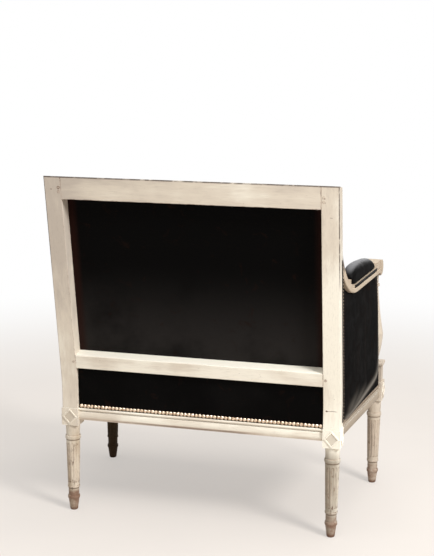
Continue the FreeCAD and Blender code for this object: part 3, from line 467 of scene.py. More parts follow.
def newPiece(name, points, faceGroups, finish, closed=True):
    mesh = bpy.data.meshes.new(name)
    mesh.from_pydata(points.tolist(), [], [face for group in faceGroups for face in group.tolist()])
    mesh.polygons.foreach_set("use_smooth", np.full(len(mesh.polygons), closed))
    mesh.update()
    mesh.materials.append(finish)
    piece = bpy.data.objects.new(name, mesh)
    scene.collection.objects.link(piece)
    if closed:
        turnOutward(piece)
    return piece


def gridFaces(rows, columns, closedRows=False, closedColumns=False, start=0):
    i = np.arange(rows if closedRows else rows - 1)
    j = np.arange(columns if closedColumns else columns - 1)
    i, j = np.meshgrid(i, j, indexing="ij")
    nextI, nextJ = (i + 1) % rows, (j + 1) % columns
    corners = [i * columns + j, nextI * columns + j, nextI * columns + nextJ, i * columns + nextJ]
    return np.stack([corner.ravel() for corner in corners], axis=1) + start


def sheetFaces(rows, columns):
    # Closed thin sheet: an outer and an inner grid of the same size, joined round the rim.
    count = rows * columns
    index = np.arange(count).reshape(rows, columns)
    edge = np.concatenate([index[0, :-1], index[:-1, -1], index[-1, :0:-1], index[:0:-1, 0]])
    after = np.roll(edge, -1)
    return np.concatenate([gridFaces(rows, columns), gridFaces(rows, columns, start=count)[:, ::-1],
                           np.stack([edge, after, after + count, edge + count], axis=1)])


def sheetPiece(name, outer, inner, finish):
    points = np.concatenate([outer.reshape(-1, 3), inner.reshape(-1, 3)])
    return newPiece(name, points, [sheetFaces(*outer.shape[:2])], finish)


def circles(first, second, sides):
    # A circle of unit radius on each pair of directions.
    turn = np.linspace(0, 2 * np.pi, sides, endpoint=False)[None, :, None]
    return first[:, None] * np.cos(turn) + second[:, None] * np.sin(turn)


def unit(vectors):
    return vectors / np.linalg.norm(vectors, axis=1)[:, None]


nearUp = np.array([1e-4, 2e-4, 1.0])


def tubeAlong(name, path, radius, finish, sides=10):
    # Round tube on a closed path: a circle carried on the two directions square to the path.
    forward = unit(np.roll(path, -1, axis=0) - np.roll(path, 1, axis=0))
    side = unit(np.cross(forward, nearUp))
    points = path[:, None] + radius * circles(side, np.cross(side, forward), sides)
    return newPiece(name, points.reshape(-1, 3), [gridFaces(len(path), sides, True, True)], finish)


def meshPoints(mesh, kind="co"):
    points = np.empty(len(mesh.vertices) * 3)
    mesh.vertices.foreach_get(kind, points)
    return points.reshape(-1, 3)


def nodePoints(nodeName):
    return meshPoints(cadNodes[nodeName].data)


def dress(piece, slotName, *replaced, body="frame"):
    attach(piece, body)
    if replaced:
        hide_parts(*replaced)
    return piece


# Outside back: two stretched leather panels

panelLook = dict(upperBulge=0.0035, lowerBulge=0.0022, bulgeUp=0.045, bulgeAcross=0.06, thickness=0.0018,
                 tackPitch=0.024, pull=0.0007, pullReach=0.018, pullFall=0.02, rows=70, columns=100)


def rearCorners(nodeName):
    # The rear corners of a flat panel: the low pair, then the high pair, each from right to left.
    points = nodePoints(nodeName)
    reach = np.abs(points[:, 0]).max()
    isHigh = points[:, 2] > (points[:, 2].min() + points[:, 2].max()) / 2
    pairs = []
    for part in (points[~isHigh], points[isHigh]):
        rear = part[np.argmax(part[:, 1])]
        pairs.append([np.array([side * reach, rear[1], rear[2]]) for side in (-1, 1)])
    return pairs


def stretchedPanel(name, nodeName, finish, bulge):
    # Straight lines between the corners, plus a bulge that rises from the edges, less pulls at the tacks.
    look = panelLook
    low, high = rearCorners(nodeName)
    s, t = np.meshgrid(np.linspace(0, 1, look["rows"]), np.linspace(0, 1, look["columns"]), indexing="ij")
    up, along = s[..., None], t[..., None]
    lowLine, highLine = [pair[0] * (1 - along) + pair[1] * along for pair in (low, high)]
    flat = lowLine * (1 - up) + highLine * up
    rise, wide = high[0] - low[0], low[1] - low[0]
    tall, broad = np.linalg.norm(rise), np.linalg.norm(wide)
    out = np.cross(rise, wide)
    out *= np.sign(out[1]) / np.linalg.norm(out)
    sFar = np.minimum(s, 1 - s) * tall
    tFar = np.minimum(t, 1 - t) * broad
    bulged = bulge * (1 - np.exp(-sFar / look["bulgeUp"])) * (1 - np.exp(-tFar / look["bulgeAcross"]))
    perTack = 2 * np.pi / look["tackPitch"]
    waves = np.cos(perTack * t * broad) * np.exp(-sFar / look["pullReach"])
    waves += np.cos(perTack * s * tall) * np.exp(-tFar / look["pullReach"])
    nearEdge = (np.exp(-sFar / look["pullFall"]) + np.exp(-tFar / look["pullFall"])) / 2
    lift = bulged - look["pull"] * (1 + waves / 2) * nearEdge
    piece = sheetPiece(name, flat + lift[..., None] * out, flat - look["thickness"] * out, finish)
    dress(piece, "black_leather", nodeName)


stretchedPanel("upperBackLeather", "outside_back_panel", finishes["backLeather"], panelLook["upperBulge"])
stretchedPanel("lowerBackLeather", "lower_back_panel", finishes["lowerLeather"], panelLook["lowerBulge"])
print("outside back: upper and lower leather stretched")


# Outside arms: padded leather on a twisted wall, nailed at the post and along the front

wall = dict(low=0.2878, armLow=0.614, rearX=0.3658, frontLowX=0.4077, frontHighX=0.3942, rear=0.042,
            front=0.4225, cornerFront=0.426, sweepEnd=0.1499, underRadius=0.235, meetTurn=0.7907,
            clear=0.0009, puff=0.0055, thickness=0.0024, rows=90, columns=110)
# The padding's roll runs from the low rear corner along the rail and turns up along the front edge. The
# falls are how fast the padding rises from the rear, front, low and high edges; fade is how the rub gets
# less with height.
roll = dict(rise=0.13, start=0.012, front=0.955, turn=0.020, full=0.004, soft=0.0078, band=0.011,
            ridge=0.0022, ridgeStart=0.125, thin=0.25, falls=(9, 60, 45, 12), rub=0.8, sharp=1.6,
            fade=(1.15, 1.6, 0.15))
# The pulls fan out of the low rear corner: slope, half width, height, start and end.
pulls = [(0.24, 0.010, 0.0018, 0.10, 0.62), (0.40, 0.012, 0.0014, 0.08, 0.42)]
pullLook = dict(fadeIn=0.08, fadeOut=0.2, rub=0.30)


def wallX(depth, height):
    # Straight lines from the post to a front edge that leans in as it rises.
    rise = (height - wall["low"]) / (wall["armLow"] - wall["low"])
    front = wall["frontLowX"] + (wall["frontHighX"] - wall["frontLowX"]) * rise
    forward = (depth - wall["rear"]) / (wall["cornerFront"] - wall["rear"])
    return wall["rearX"] + (front - wall["rearX"]) * forward


def postFrontDepth(height):
    # Depth of the post's front face: upright, then a bend, then the lean of the back.
    long, thick = backShape["bendLong"], backShape["postThickness"]
    above = height - (backShape["bendHeight"] - long / 2)
    bend = np.clip(above, 0, long) ** 2 / (2 * long) + np.maximum(above - long, 0)
    tilt = np.clip(above / long, 0, 1)
    return thick + tilt * thick * (1 / math.cos(lean) - 1) - math.tan(lean) * bend + wall["clear"]


def wallGrid():
    # Patch between four edges: rail below, arm above, post behind, front edge.
    s = np.linspace(0, 1, wall["columns"])
    t = np.linspace(0, 1, wall["rows"])
    radius = wall["underRadius"] + wall["clear"]
    arcLong = radius * wall["meetTurn"]
    travel = s * (arcLong + wall["front"] - wall["sweepEnd"])
    turn = np.clip(wall["meetTurn"] - travel / radius, 0, None)
    topDepth = wall["sweepEnd"] - radius * np.sin(turn) + np.clip(travel - arcLong, 0, None)
    topHeight = wall["armLow"] + wall["underRadius"] - radius * np.cos(turn)
    top = np.stack([topDepth, topHeight], axis=1)
    rearHeight = wall["low"] + t * (topHeight[0] - wall["low"])
    rear = np.stack([postFrontDepth(rearHeight), rearHeight], axis=1)
    rear[-1] = top[0]
    low = np.stack([rear[0, 0] + s * (wall["front"] - rear[0, 0]), np.full_like(s, wall["low"])], axis=1)
    frontHeight = wall["low"] + t * (topHeight[-1] - wall["low"])
    front = np.stack([np.full_like(t, wall["front"]), frontHeight], axis=1)
    along, up = s[None, :, None], t[:, None, None]
    patch = (1 - up) * low[None] + up * top[None] + (1 - along) * rear[:, None] + along * front[:, None]
    patch -= (1 - along) * ((1 - up) * low[0] + up * top[0]) + along * ((1 - up) * low[-1] + up * top[-1])
    return patch[..., 0], patch[..., 1], *np.broadcast_arrays(along[..., 0], up[..., 0])


tackLook = dict(radius=0.0027, height=0.0018, pitch=0.0086, inset=0.003, lowEnd=0.004, highEnd=0.006,
                out=0.0004, aim=(0.996, 0.09, 0.0))
domeRings = ((1.0, 0.0), (0.82, 0.55), (0.45, 0.88))


def edgeTacks(name, places, outs, look, finish, sides=8):
    # Small domes square to the leather: rings at shares of the radius and height, a tip and a flat base.
    across = unit(np.cross(outs, nearUp))
    circle = look["radius"] * circles(across, np.cross(outs, across), sides)
    up = look["height"] * outs[:, None]
    layers = [places[:, None] + wide * circle + tall * up for wide, tall in domeRings]
    points = np.concatenate(layers + [places[:, None] + up], axis=1)
    each = points.shape[1]
    start = each * np.arange(len(places))[:, None, None]
    j = np.arange(sides)
    lastRing = each - 1 - sides
    cap = np.stack([lastRing + j, lastRing + (j + 1) % sides, np.full(sides, each - 1)], axis=1)
    base = np.stack([np.zeros(sides - 2, int), j[2:], j[1:-1]], axis=1)
    quads = gridFaces(len(domeRings), sides, closedColumns=True)[None] + start
    triangles = np.concatenate([cap, base])[None] + start
    groups = [quads.reshape(-1, 4), triangles.reshape(-1, 3)]
    dress(newPiece(name, points.reshape(-1, 3), groups, finish), "brass_nails")


def spacedAlong(line, pitch):
    steps = np.concatenate([[0], np.cumsum(np.linalg.norm(np.diff(line, axis=0), axis=1))])
    wanted = np.arange(pitch / 2, steps[-1], pitch)
    return np.stack([np.interp(wanted, steps, line[:, k]) for k in range(3)], axis=1)


def sideForm(s, t):
    # Distance inside the roll line: the smaller, smoothly, of the height above a line that climbs from the
    # low rear corner and the distance behind a line near the front. The padding stands full inside it and
    # falls to the nailed edges outside it; a low ridge follows the line, and pulls fan out of the corner.
    high, long = wall["armLow"] - wall["low"], wall["front"] - wall["rear"]
    above = (t - roll["start"] - roll["rise"] * s) * high
    behind = (roll["front"] - s) * long
    inside = -roll["turn"] * np.log(np.exp(-above / roll["turn"]) + np.exp(-behind / roll["turn"]))
    edges = np.ones_like(s)
    for fall, share in zip(roll["falls"], (s, 1 - s, t, 1 - t)):
        edges = edges * (1 - np.exp(-fall * share))
    full = 1 / (1 + np.exp(-(inside + roll["full"]) / roll["soft"]))
    ridge = np.exp(-(inside / roll["band"]) ** 2) * np.clip(s / roll["ridgeStart"], 0, 1)
    lift = wall["puff"] * (roll["thin"] + (1 - roll["thin"]) * full) * edges + roll["ridge"] * ridge * edges
    most, loss, least = roll["fade"]
    # The rub is partly rubbed leather and partly a painted highlight along the ridge and the pulls.
    rub = roll["rub"] * ridge ** roll["sharp"] * np.clip(most - loss * t, least, 1)
    for slope, wide, tall, start, end in pulls:
        pull = np.exp(-((t - roll["start"] - slope * s) * high / wide) ** 2)
        pull *= np.clip((s - start) / pullLook["fadeIn"], 0, 1)
        pull *= np.clip((end - s) / pullLook["fadeOut"], 0, 1)
        lift = lift + tall * pull
        rub = np.maximum(rub, pullLook["rub"] * pull)
    return lift, rub


strip = dict(low=0.3005, frontTop=0.676, topRise=0.050, face=0.3701, thickness=0.0014, inset=0.0270,
             tackIn=0.0300, tackLow=0.003, tackTop=0.8, rows=12, columns=70, tackSteps=60)


def postStrip(side, word):
    # The arm leather is carried back over the side of the post: a flat strip that follows the post's bend
    # and lean, with its top edge along the sweep of the arm. Returns the line of tacks near its rear edge.
    f, t = np.meshgrid(np.linspace(0, 1, strip["rows"]), np.linspace(0, 1, strip["columns"]), indexing="ij")
    height = strip["low"] + t * (strip["frontTop"] + strip["topRise"] * f - strip["low"])
    deep = backShape["postThickness"] - strip["inset"]
    y = rearPlane - postFrontDepth(height) + f * deep
    layers = []
    for out in (strip["thickness"], 0.0):
        layers.append(np.stack([np.full_like(y, side * (strip["face"] + out)), y, height], axis=2))
    piece = sheetPiece("postLeather" + word, *layers, finishes["sideLeather"])
    dress(piece, "black_leather")
    tackTop = strip["frontTop"] + strip["tackTop"] * strip["topRise"]
    heights = np.linspace(strip["low"] + strip["tackLow"], tackTop, strip["tackSteps"])
    rearY = rearPlane - postFrontDepth(heights) + backShape["postThickness"] - strip["tackIn"]
    outerX = np.full_like(rearY, side * (strip["face"] + strip["thickness"]))
    return np.stack([outerX, rearY, heights], axis=1)


corner = dict(low=0.3072, topGap=0.0008, radius=0.004, wide=0.031, postInner=0.3678, past=0.0022, back=0.030,
              thickness=0.002, bulge=0.0012, start=0.08, rows=40, roundSteps=7, acrossSteps=8, backSteps=6)


def frontReturn(side, word):
    # The leather goes round the front corner on a quarter circle, runs in over the upholstery post, whose
    # inner face is upright while the front edge leans, and turns back along that inner face.
    heights = np.linspace(corner["low"], wall["armLow"] - corner["topGap"], corner["rows"])
    turn = np.linspace(0, np.pi / 2, corner["roundSteps"])
    radius, flat, turned = corner["radius"], corner["acrossSteps"], corner["backSteps"]
    edge = wallX(wall["cornerFront"], heights)[:, None]
    wide = np.maximum(corner["wide"], edge - corner["postInner"] + corner["past"])
    across = np.concatenate([np.zeros_like(turn), np.linspace(corner["start"], 1, flat), np.ones(turned)])
    rounded = np.concatenate([radius * (1 - np.cos(turn)), np.full(flat + turned, radius)])
    inward = rounded + across * (wide - radius)
    back = np.concatenate([radius - radius * np.sin(turn), np.zeros(flat),
                           np.linspace(corner["thickness"], corner["back"], turned)])
    bulge = corner["bulge"] * np.sin(np.pi * np.clip(inward / wide, 0, 1))
    z = np.broadcast_to(heights[:, None], inward.shape)
    outer = np.stack([side * (edge - inward), rearPlane - wall["cornerFront"] + back - bulge, z], axis=2)
    aim = np.concatenate([turn, np.full(flat, np.pi / 2), np.full(turned, np.pi)])
    into = np.stack([-side * np.cos(aim), np.sin(aim), np.zeros_like(aim)], axis=1)
    inner = outer + corner["thickness"] * into
    piece = sheetPiece("armFrontLeather" + word, outer, inner, finishes["sideLeather"])
    dress(piece, "black_leather")


def outsideArm(side, word):
    depth, height, s, t = wallGrid()
    lift, rub = sideForm(s, t)
    outer = np.stack([side * (wallX(depth, height) + lift), rearPlane - depth, height], axis=2)
    inner = outer - np.array([side * wall["thickness"], 0, 0])
    piece = sheetPiece("outsideArmLeather" + word, outer, inner, finishes["sideLeather"])
    # The rub attribute paints the roll paler: partly rubbed leather, partly a painted highlight.
    piece.data.attributes.new("rub", "FLOAT", "POINT").data.foreach_set("value", np.tile(rub.ravel(), 2))
    dress(piece, "black_leather", "outside_arm_panel_" + word.lower())
    frontReturn(side, word)
    rearLine = postStrip(side, word)
    heights = np.linspace(corner["low"] + tackLook["lowEnd"], wall["armLow"] - tackLook["highEnd"],
                          strip["tackSteps"])
    tackDepth = np.full_like(heights, wall["front"] - tackLook["inset"])
    frontLine = np.stack([side * wallX(tackDepth, heights), rearPlane - tackDepth, heights], axis=1)
    places = np.concatenate([spacedAlong(line, tackLook["pitch"]) for line in (rearLine, frontLine)])
    places += np.array([side * tackLook["out"], 0, 0])
    outs = np.tile(np.array(tackLook["aim"]) * np.array([side, 1, 1]), (len(places), 1))
    edgeTacks("edgeTacks" + word, places, outs, tackLook, finishes["darkBrass"])


tuck = dict(half=0.364, low=0.310, high=0.450, out=0.0016, thickness=0.0012, rows=24, columns=30)


def backTuck():
    # Leather drawn down behind the back pad: a strip on the front of the posts, bent as they are.
    heights = np.linspace(tuck["low"], tuck["high"], tuck["rows"])[:, None]
    x = np.linspace(-tuck["half"], tuck["half"], tuck["columns"])[None]
    depth = postFrontDepth(heights) - wall["clear"] + tuck["out"]
    layers = []
    for drop in (0.0, tuck["thickness"]):
        layers.append(np.stack(np.broadcast_arrays(x, rearPlane - depth + drop, heights), axis=2))
    piece = sheetPiece("backTuck", *layers, finishes["padLeather"])
    dress(piece, "black_leather")


# The arm's turn outward comes from how much wider the seat is at the front, over its depth.
border = dict(start=0.1235, end=0.3845, overRadius=0.190, seatHigh=0.634, bandHigh=0.012, face=-0.0005,
              postOuter=0.370, turn=math.atan2(0.032, 0.451), rows=15, columns=90, out=0.0007, welt=0.0021,
              weltAt=0.84, weltWide=0.13, thickness=0.0010, under=0.0001, flatWide=0.011)


def armBorder(side, word):
    # Leather strip on the side of the arm between the band and the rest, with a round welt along its upper
    # edge; its edges follow the two arcs of the sweep and then run level, turned with the arm.
    depth = np.linspace(border["start"], border["end"], border["columns"])
    drop = np.maximum(wall["sweepEnd"] - depth, 0)
    underRadius = wall["underRadius"] - border["bandHigh"]
    high = border["seatHigh"] + border["overRadius"] - np.sqrt(border["overRadius"] ** 2 - drop ** 2)
    low = wall["armLow"] + wall["underRadius"] - np.sqrt(underRadius ** 2 - drop ** 2)
    t = np.linspace(0, 1, border["rows"])[:, None]
    height = low + t * (high - low)
    welt = border["welt"] * np.exp(-((t - border["weltAt"]) / border["weltWide"]) ** 2)
    out = border["out"] * np.sin(np.pi * t) + welt + border["thickness"]
    cosine, sine = math.cos(border["turn"]), math.sin(border["turn"])
    layers = []
    for lift in (out, np.full_like(out, border["under"])):
        across = border["face"] + np.broadcast_to(lift, height.shape)
        x = border["postOuter"] + across * cosine + depth * sine
        y = rearPlane + across * sine - depth * cosine
        layers.append(np.stack([side * x, y, height], axis=2))
    piece = sheetPiece("armBorder" + word, *layers, finishes["trimLeather"])
    dress(piece, "black_leather")


for side, word in ((1, "Left"), (-1, "Right")):
    outsideArm(side, word)
    armBorder(side, word)
backTuck()
print("outside arms: leather, front returns, edge tacks, arm borders and the tuck behind the back pad")


# Stuffed pieces: the CAD form remeshed, swollen by inner pressure where it is free, then subdivided

def softCopy(nodeName, pieceName, voxel, finish):
    mesh = cadNodes[nodeName].data.copy()
    work = bmesh.new()
    work.from_mesh(mesh)
    bmesh.ops.remove_doubles(work, verts=work.verts, dist=1e-5)
    work.to_mesh(mesh)
    work.free()
    holder = bpy.data.objects.new(pieceName + "Start", mesh)
    scene.collection.objects.link(holder)
    remesh = holder.modifiers.new("voxels", "REMESH")
    remesh.mode = "VOXEL"
    remesh.voxel_size = voxel
    smooth = holder.modifiers.new("smooth", "SMOOTH")
    smooth.factor = 0.5
    smooth.iterations = 3
    ready = bpy.data.meshes.new_from_object(holder.evaluated_get(bpy.context.evaluated_depsgraph_get()))
    bpy.data.objects.remove(holder)
    ready.name = pieceName
    ready.materials.clear()
    ready.materials.append(finish)
    ready.polygons.foreach_set("use_smooth", np.ones(len(ready.polygons), bool))
    piece = bpy.data.objects.new(pieceName, ready)
    scene.collection.objects.link(piece)
    return piece


def moveTo(mesh, points):
    mesh.vertices.foreach_set("co", points.ravel())
    mesh.update()


clothSteps = 20


def swell(piece, held, look):
    # Cloth with pressure and no gravity; held points stay, the others move by the cap at most.
    mesh = piece.data
    start = meshPoints(mesh) - look["shrink"] * meshPoints(mesh, "normal") * (1 - held)[:, None]
    moveTo(mesh, start)
    group = piece.vertex_groups.new(name="held")
    group.add(np.flatnonzero(held > 0.5).tolist(), 1.0, "REPLACE")
    cloth = piece.modifiers.new("swell", "CLOTH")
    cloth.settings.vertex_group_mass = "held"
    cloth.settings.use_pressure = True
    cloth.settings.uniform_pressure_force = look["pressure"]
    cloth.settings.effector_weights.gravity = 0.0
    cloth.settings.quality = 4
    cloth.point_cache.frame_start = 1
    cloth.point_cache.frame_end = clothSteps
    for step in range(1, clothSteps + 1):
        scene.frame_set(step)
    shaped = piece.evaluated_get(bpy.context.evaluated_depsgraph_get()).to_mesh()
    moved = meshPoints(shaped) - start
    far = np.linalg.norm(moved, axis=1)
    moved *= (np.minimum(far, look["cap"]) / np.maximum(far, 1e-9))[:, None]
    piece.modifiers.remove(cloth)
    piece.vertex_groups.clear()
    scene.frame_set(1)
    moveTo(mesh, start + moved)


def stuffed(name, look, finish, findHeld, word="", body="frame"):
    nodeName = look["node"] + word.lower()
    piece = softCopy(nodeName, name + word, look["voxel"], finish)
    swell(piece, findHeld(meshPoints(piece.data), look).astype(float), look)
    level = piece.modifiers.new("subdivide", "SUBSURF")
    level.levels = 1
    level.render_levels = 1
    dress(piece, "black_leather", nodeName, body=body)
    return piece


backPad = dict(node="inside_back_pad", voxel=0.0068, pressure=3.0, cap=0.008, shrink=0.001, fill=0.7,
               held=0.012)
backNails = dict(inset=0.0075, lowest=0.648, radius=0.0040, height=0.0022, pitch=0.0100, reach=0.2)


def heldBehind(points, look):
    # Near the plane of the leaning back.
    rise = points[:, 2] - backShape["bendHeight"]
    depth = (rearPlane - points[:, 1]) * math.cos(lean) + rise * math.sin(lean)
    return depth < depth.min() + look["held"]


def nailBackEdge(pad):
    # Nails round the upper edge of the inside back: a line set in from the pad's outline in the leaning
    # plane, carried square to that plane onto the pad.
    points = meshPoints(pad.data)
    across = np.array([1.0, 0.0, 0.0])
    upward = np.array([0.0, math.sin(lean), math.cos(lean)])
    outward = np.array([0.0, -math.cos(lean), math.sin(lean)])
    origin = np.array([0.0, rearPlane, backShape["bendHeight"]])
    half = np.abs(points[:, 0]).max() - backNails["inset"]
    top = ((points - origin) @ upward).max() - backNails["inset"]
    low = (backNails["lowest"] - backShape["bendHeight"]) / math.cos(lean)
    line = np.array([[-half, low, 0], [-half, top, 0], [half, top, 0], [half, low, 0]])
    spots = spacedAlong(line, backNails["pitch"])
    begin = origin + spots[:, :1] * across + spots[:, 1:2] * upward + backNails["reach"] * outward
    tree = BVHTree.FromObject(pad, bpy.context.evaluated_depsgraph_get())
    hits = [tree.ray_cast(Vector(point), Vector(-outward)) for point in begin]
    places = np.array([hit[0] for hit in hits])
    outs = np.array([hit[1] for hit in hits])
    edgeTacks("backEdgeNails", places, outs, backNails, finishes["brass"])


armPad = dict(node="inside_arm_pad_", voxel=0.005, pressure=3.0, cap=0.006, shrink=0.001, fill=0.7,
              held=0.022, heldLow=0.008, heldHigh=0.595, heldFront=0.385, heldRear=0.075)


def heldAtWall(points, look):
    # Near the wall behind the pad, and along the pad's four edges.
    height, depth = points[:, 2], rearPlane - points[:, 1]
    nearWall = wallX(depth, height) - np.abs(points[:, 0]) < look["held"]
    lowOrHigh = (height < height.min() + look["heldLow"]) | (height > look["heldHigh"])
    return nearWall | lowOrHigh | (depth > look["heldFront"]) | (depth < look["heldRear"])


armRest = dict(node="arm_rest_", voxel=0.0032, pressure=4.0, cap=0.004, shrink=0.0008, fill=0.85, held=0.006)
cushion = dict(node="seat_cushion", voxel=0.006, pressure=3.0, cap=0.011, shrink=0.0005, fill=0.65,
               held=0.005)


def heldBelow(points, look):
    return points[:, 2] < points[:, 2].min() + look["held"]


pipingLook = dict(radius=0.0036, steps=260, topDrop=0.028, lowRise=0.010, sunk=0.0012, squareness=0.35,
                  reach=0.6)


def pipeCushion(piece):
    # Piping where rays toward the middle, level at two heights, meet the cushion; their directions run round
    # a rounded rectangle, a circle whose sine and cosine are raised to a power below one.
    look = pipingLook
    low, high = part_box("seat_cushion")
    tree = BVHTree.FromObject(piece, bpy.context.evaluated_depsgraph_get())
    turns = np.linspace(0, 2 * np.pi, look["steps"], endpoint=False)
    circle = np.stack([np.cos(turns), np.sin(turns)], axis=1)
    half = np.array([high[0] - low[0], high[1] - low[1]]) / 2
    aims = unit(np.sign(circle) * np.abs(circle) ** look["squareness"] * half)
    aims = np.column_stack([aims, np.zeros(len(aims))])
    heights = dict(Top=high[2] - look["topDrop"], Low=low[2] + look["lowRise"])
    for word, height in heights.items():
        middle = np.array([(low[0] + high[0]) / 2, (low[1] + high[1]) / 2, height])
        hits = [tree.ray_cast(Vector(middle + look["reach"] * aim), Vector(-aim))[0] for aim in aims]
        path = np.array(hits) - look["sunk"] * aims
        tube = tubeAlong("cushionPiping" + word, path, look["radius"], finishes["trimLeather"])
        dress(tube, "black_leather", body="cushion")


nailBackEdge(stuffed("insideBackPad", backPad, finishes["padLeather"], heldBehind))
for word in ("Left", "Right"):
    stuffed("insideArmPad", armPad, finishes["padLeather"], heldAtWall, word)
    stuffed("armRest", armRest, finishes["restLeather"], heldBelow, word)
pipeCushion(stuffed("seatCushion", cushion, finishes["padLeather"], heldBelow, body="cushion"))
print("stuffed pieces: back, arms, rests and loose cushion")


# Seat deck, front border, webbing and hessian

deckLook = dict(voxel=0.006, fill=0.8)


def makeDeck():
    # The CAD deck with its edges softened.
    piece = softCopy("seat_deck", "seatDeck", deckLook["voxel"], finishes["padLeather"])
    dress(piece, "black_leather", "seat_deck")


frontLook = dict(rows=14, columns=120, puff=0.0022, fullness=0.6, thickness=0.002, tackPitch=0.026,
                 ripple=0.0003)


def makeFrontBorder():
    # A strip on the shallow bow of the front rail, swelling between its edges, rippled by its tacks.
    look = frontLook
    points = nodePoints("front_border")
    low, high = points.min(axis=0), points.max(axis=0)
    half = high[0]
    outerEdge = points[np.abs(points[:, 0]) > half - 1e-5][:, 1].min()
    x = np.linspace(-half, half, look["columns"])[None]
    t = np.linspace(0, 1, look["rows"])[:, None]
    bow = outerEdge + (low[1] - outerEdge) * (1 - (x / half) ** 2)
    share = (4 * t * (1 - t)) ** look["fullness"]
    out = share * (look["puff"] + look["ripple"] * np.cos(2 * np.pi * x / look["tackPitch"]))
    z = low[2] + t * (high[2] - low[2])
    layers = [np.stack(np.broadcast_arrays(x, y, z), axis=2) for y in (bow - out, bow + look["thickness"])]
    piece = sheetPiece("frontBorder", *layers, finishes["padLeather"])
    dress(piece, "black_leather", "front_border")


strapLook = dict(rows=80, columns=12, ripple=0.0002, passes=8)


def looseBlocks(nodeName):
    # The points of each separate strap of a node: equal points share a place, and each place takes the lowest
    # number among its neighbours, in more passes than a block has edges on the way from end to end.
    mesh, points = cadNodes[nodeName].data, nodePoints(nodeName)
    corners, place = np.unique(points.round(6), axis=0, return_inverse=True)
    edges = np.empty(2 * len(mesh.edges), np.int32)
    mesh.edges.foreach_get("vertices", edges)
    first, second = place.ravel()[edges].reshape(-1, 2).T
    label = np.arange(len(corners))
    for step in range(strapLook["passes"]):
        lowest = np.minimum(label[first], label[second])
        np.minimum.at(label, first, lowest)
        np.minimum.at(label, second, lowest)
    strap = label[place.ravel()]
    return [points[strap == mark] for mark in np.unique(label)]


def strapGrid(block, cross, ripple):
    # A block's long way and wide way as a grid, waved where it passes over and under the cross straps.
    middle = block.mean(axis=0)
    directions = np.linalg.svd(block - middle)[2]
    long, wide, thick = directions * np.abs((block - middle) @ directions.T).max(axis=0)[:, None]
    s = np.linspace(-1, 1, strapLook["rows"])[:, None, None]
    t = np.linspace(-1, 1, strapLook["columns"])[None, :, None]
    flat = middle + s * long + t * wide + ripple * np.sin(s * np.pi * cross) * directions[2]
    return flat + thick, flat - thick, 2 * np.linalg.norm(long), 2 * np.linalg.norm(wide)


def makeStraps(name, nodeName, finish, cross, ripple=0.0):
    points, faces, area, longest, start = [], [], 0.0, 0.0, 0
    for block in looseBlocks(nodeName):
        upper, under, long, wide = strapGrid(block, cross, ripple)
        faces.append(sheetFaces(*upper.shape[:2]) + start)
        points += [upper.reshape(-1, 3), under.reshape(-1, 3)]
        start += len(points[-2]) + len(points[-1])
        area += long * wide
        longest = max(longest, long)
    piece = newPiece(name, np.concatenate(points), faces, finish)
    dress(piece, "jute", nodeName)
    float(area / longest)


hessianLook = dict(frontRows=16, rearRows=90, columns=120, sag=0.00012, waveX=0.083, waveY=0.09, thin=0.35)


def makeSeatHessian():
    # The plan of the CAD cloth: narrow between the front legs, wide behind them, then drawn in to the back;
    # it sags a little in waves both ways.
    look = hessianLook
    points = nodePoints("seat_hessian")
    low, high = points.min(axis=0), points.max(axis=0)
    half = points[points[:, 0] > 0]
    widest = half[np.argmax(half[:, 0])]
    front, rear = half[np.argmin(half[:, 1])], half[np.argmax(half[:, 1])]
    y = np.concatenate([np.linspace(front[1], widest[1] - 1e-5, look["frontRows"]),
                        np.linspace(widest[1], rear[1], look["rearRows"])])
    reach = np.where(y < widest[1], front[0], np.interp(y, [widest[1], rear[1]], [widest[0], rear[0]]))
    x = reach[:, None] * np.linspace(-1, 1, look["columns"])[None]
    deep = np.broadcast_to(y[:, None], x.shape)
    sag = look["sag"] * np.sin(2 * np.pi * x / look["waveX"]) * np.sin(2 * np.pi * deep / look["waveY"])
    middle = (low[2] + high[2]) / 2 + sag
    thick = (high[2] - low[2]) * look["thin"]
    layers = [np.stack([x, deep, middle + out], axis=2) for out in (thick, -thick)]
    piece = sheetPiece("seatHessian", *layers, finishes["seatJute"])
    dress(piece, "jute", "seat_hessian")


makeDeck()
makeSeatHessian()
makeFrontBorder()
makeStraps("seatWebbingLong", "seat_webbing_long", finishes["seatJute"], 4, strapLook["ripple"])
makeStraps("seatWebbingCross", "seat_webbing_cross", finishes["seatJute"], 6, strapLook["ripple"])
makeStraps("backWebbing", "back_webbing", finishes["backJute"], 5)
makeStraps("backHessian", "back_hessian", finishes["backJute"], 1)
print("deck, border and webbing laid")


# Camera, floor, light

shot = dict(place=(-0.84577, rearPlane + 2.96955, 1.24435), turn=-0.2618, dip=0.1886, roll=0.0064, lens=81.1,
            sensor=36.0)


def placeCamera():
    turn, dip, tilt = shot["turn"], shot["dip"], shot["roll"]
    right = Vector((-math.cos(turn), math.sin(turn), 0))
    forward = Vector((-math.sin(turn) * math.cos(dip), -math.cos(turn) * math.cos(dip), -math.sin(dip)))
    up = right.cross(forward)
    rolledRight = right * math.cos(tilt) + up * math.sin(tilt)
    rolledUp = up * math.cos(tilt) - right * math.sin(tilt)
    data = bpy.data.cameras.new("photoCamera")
    data.lens = shot["lens"]
    data.sensor_width = shot["sensor"]
    camera = bpy.data.objects.new("photoCamera", data)
    scene.collection.objects.link(camera)
    columns = Matrix((rolledRight, rolledUp, -forward)).transposed().to_4x4()
    camera.matrix_world = Matrix.Translation(shot["place"]) @ columns
    scene.camera = camera


placeCamera()
print("camera: at the photo's place")

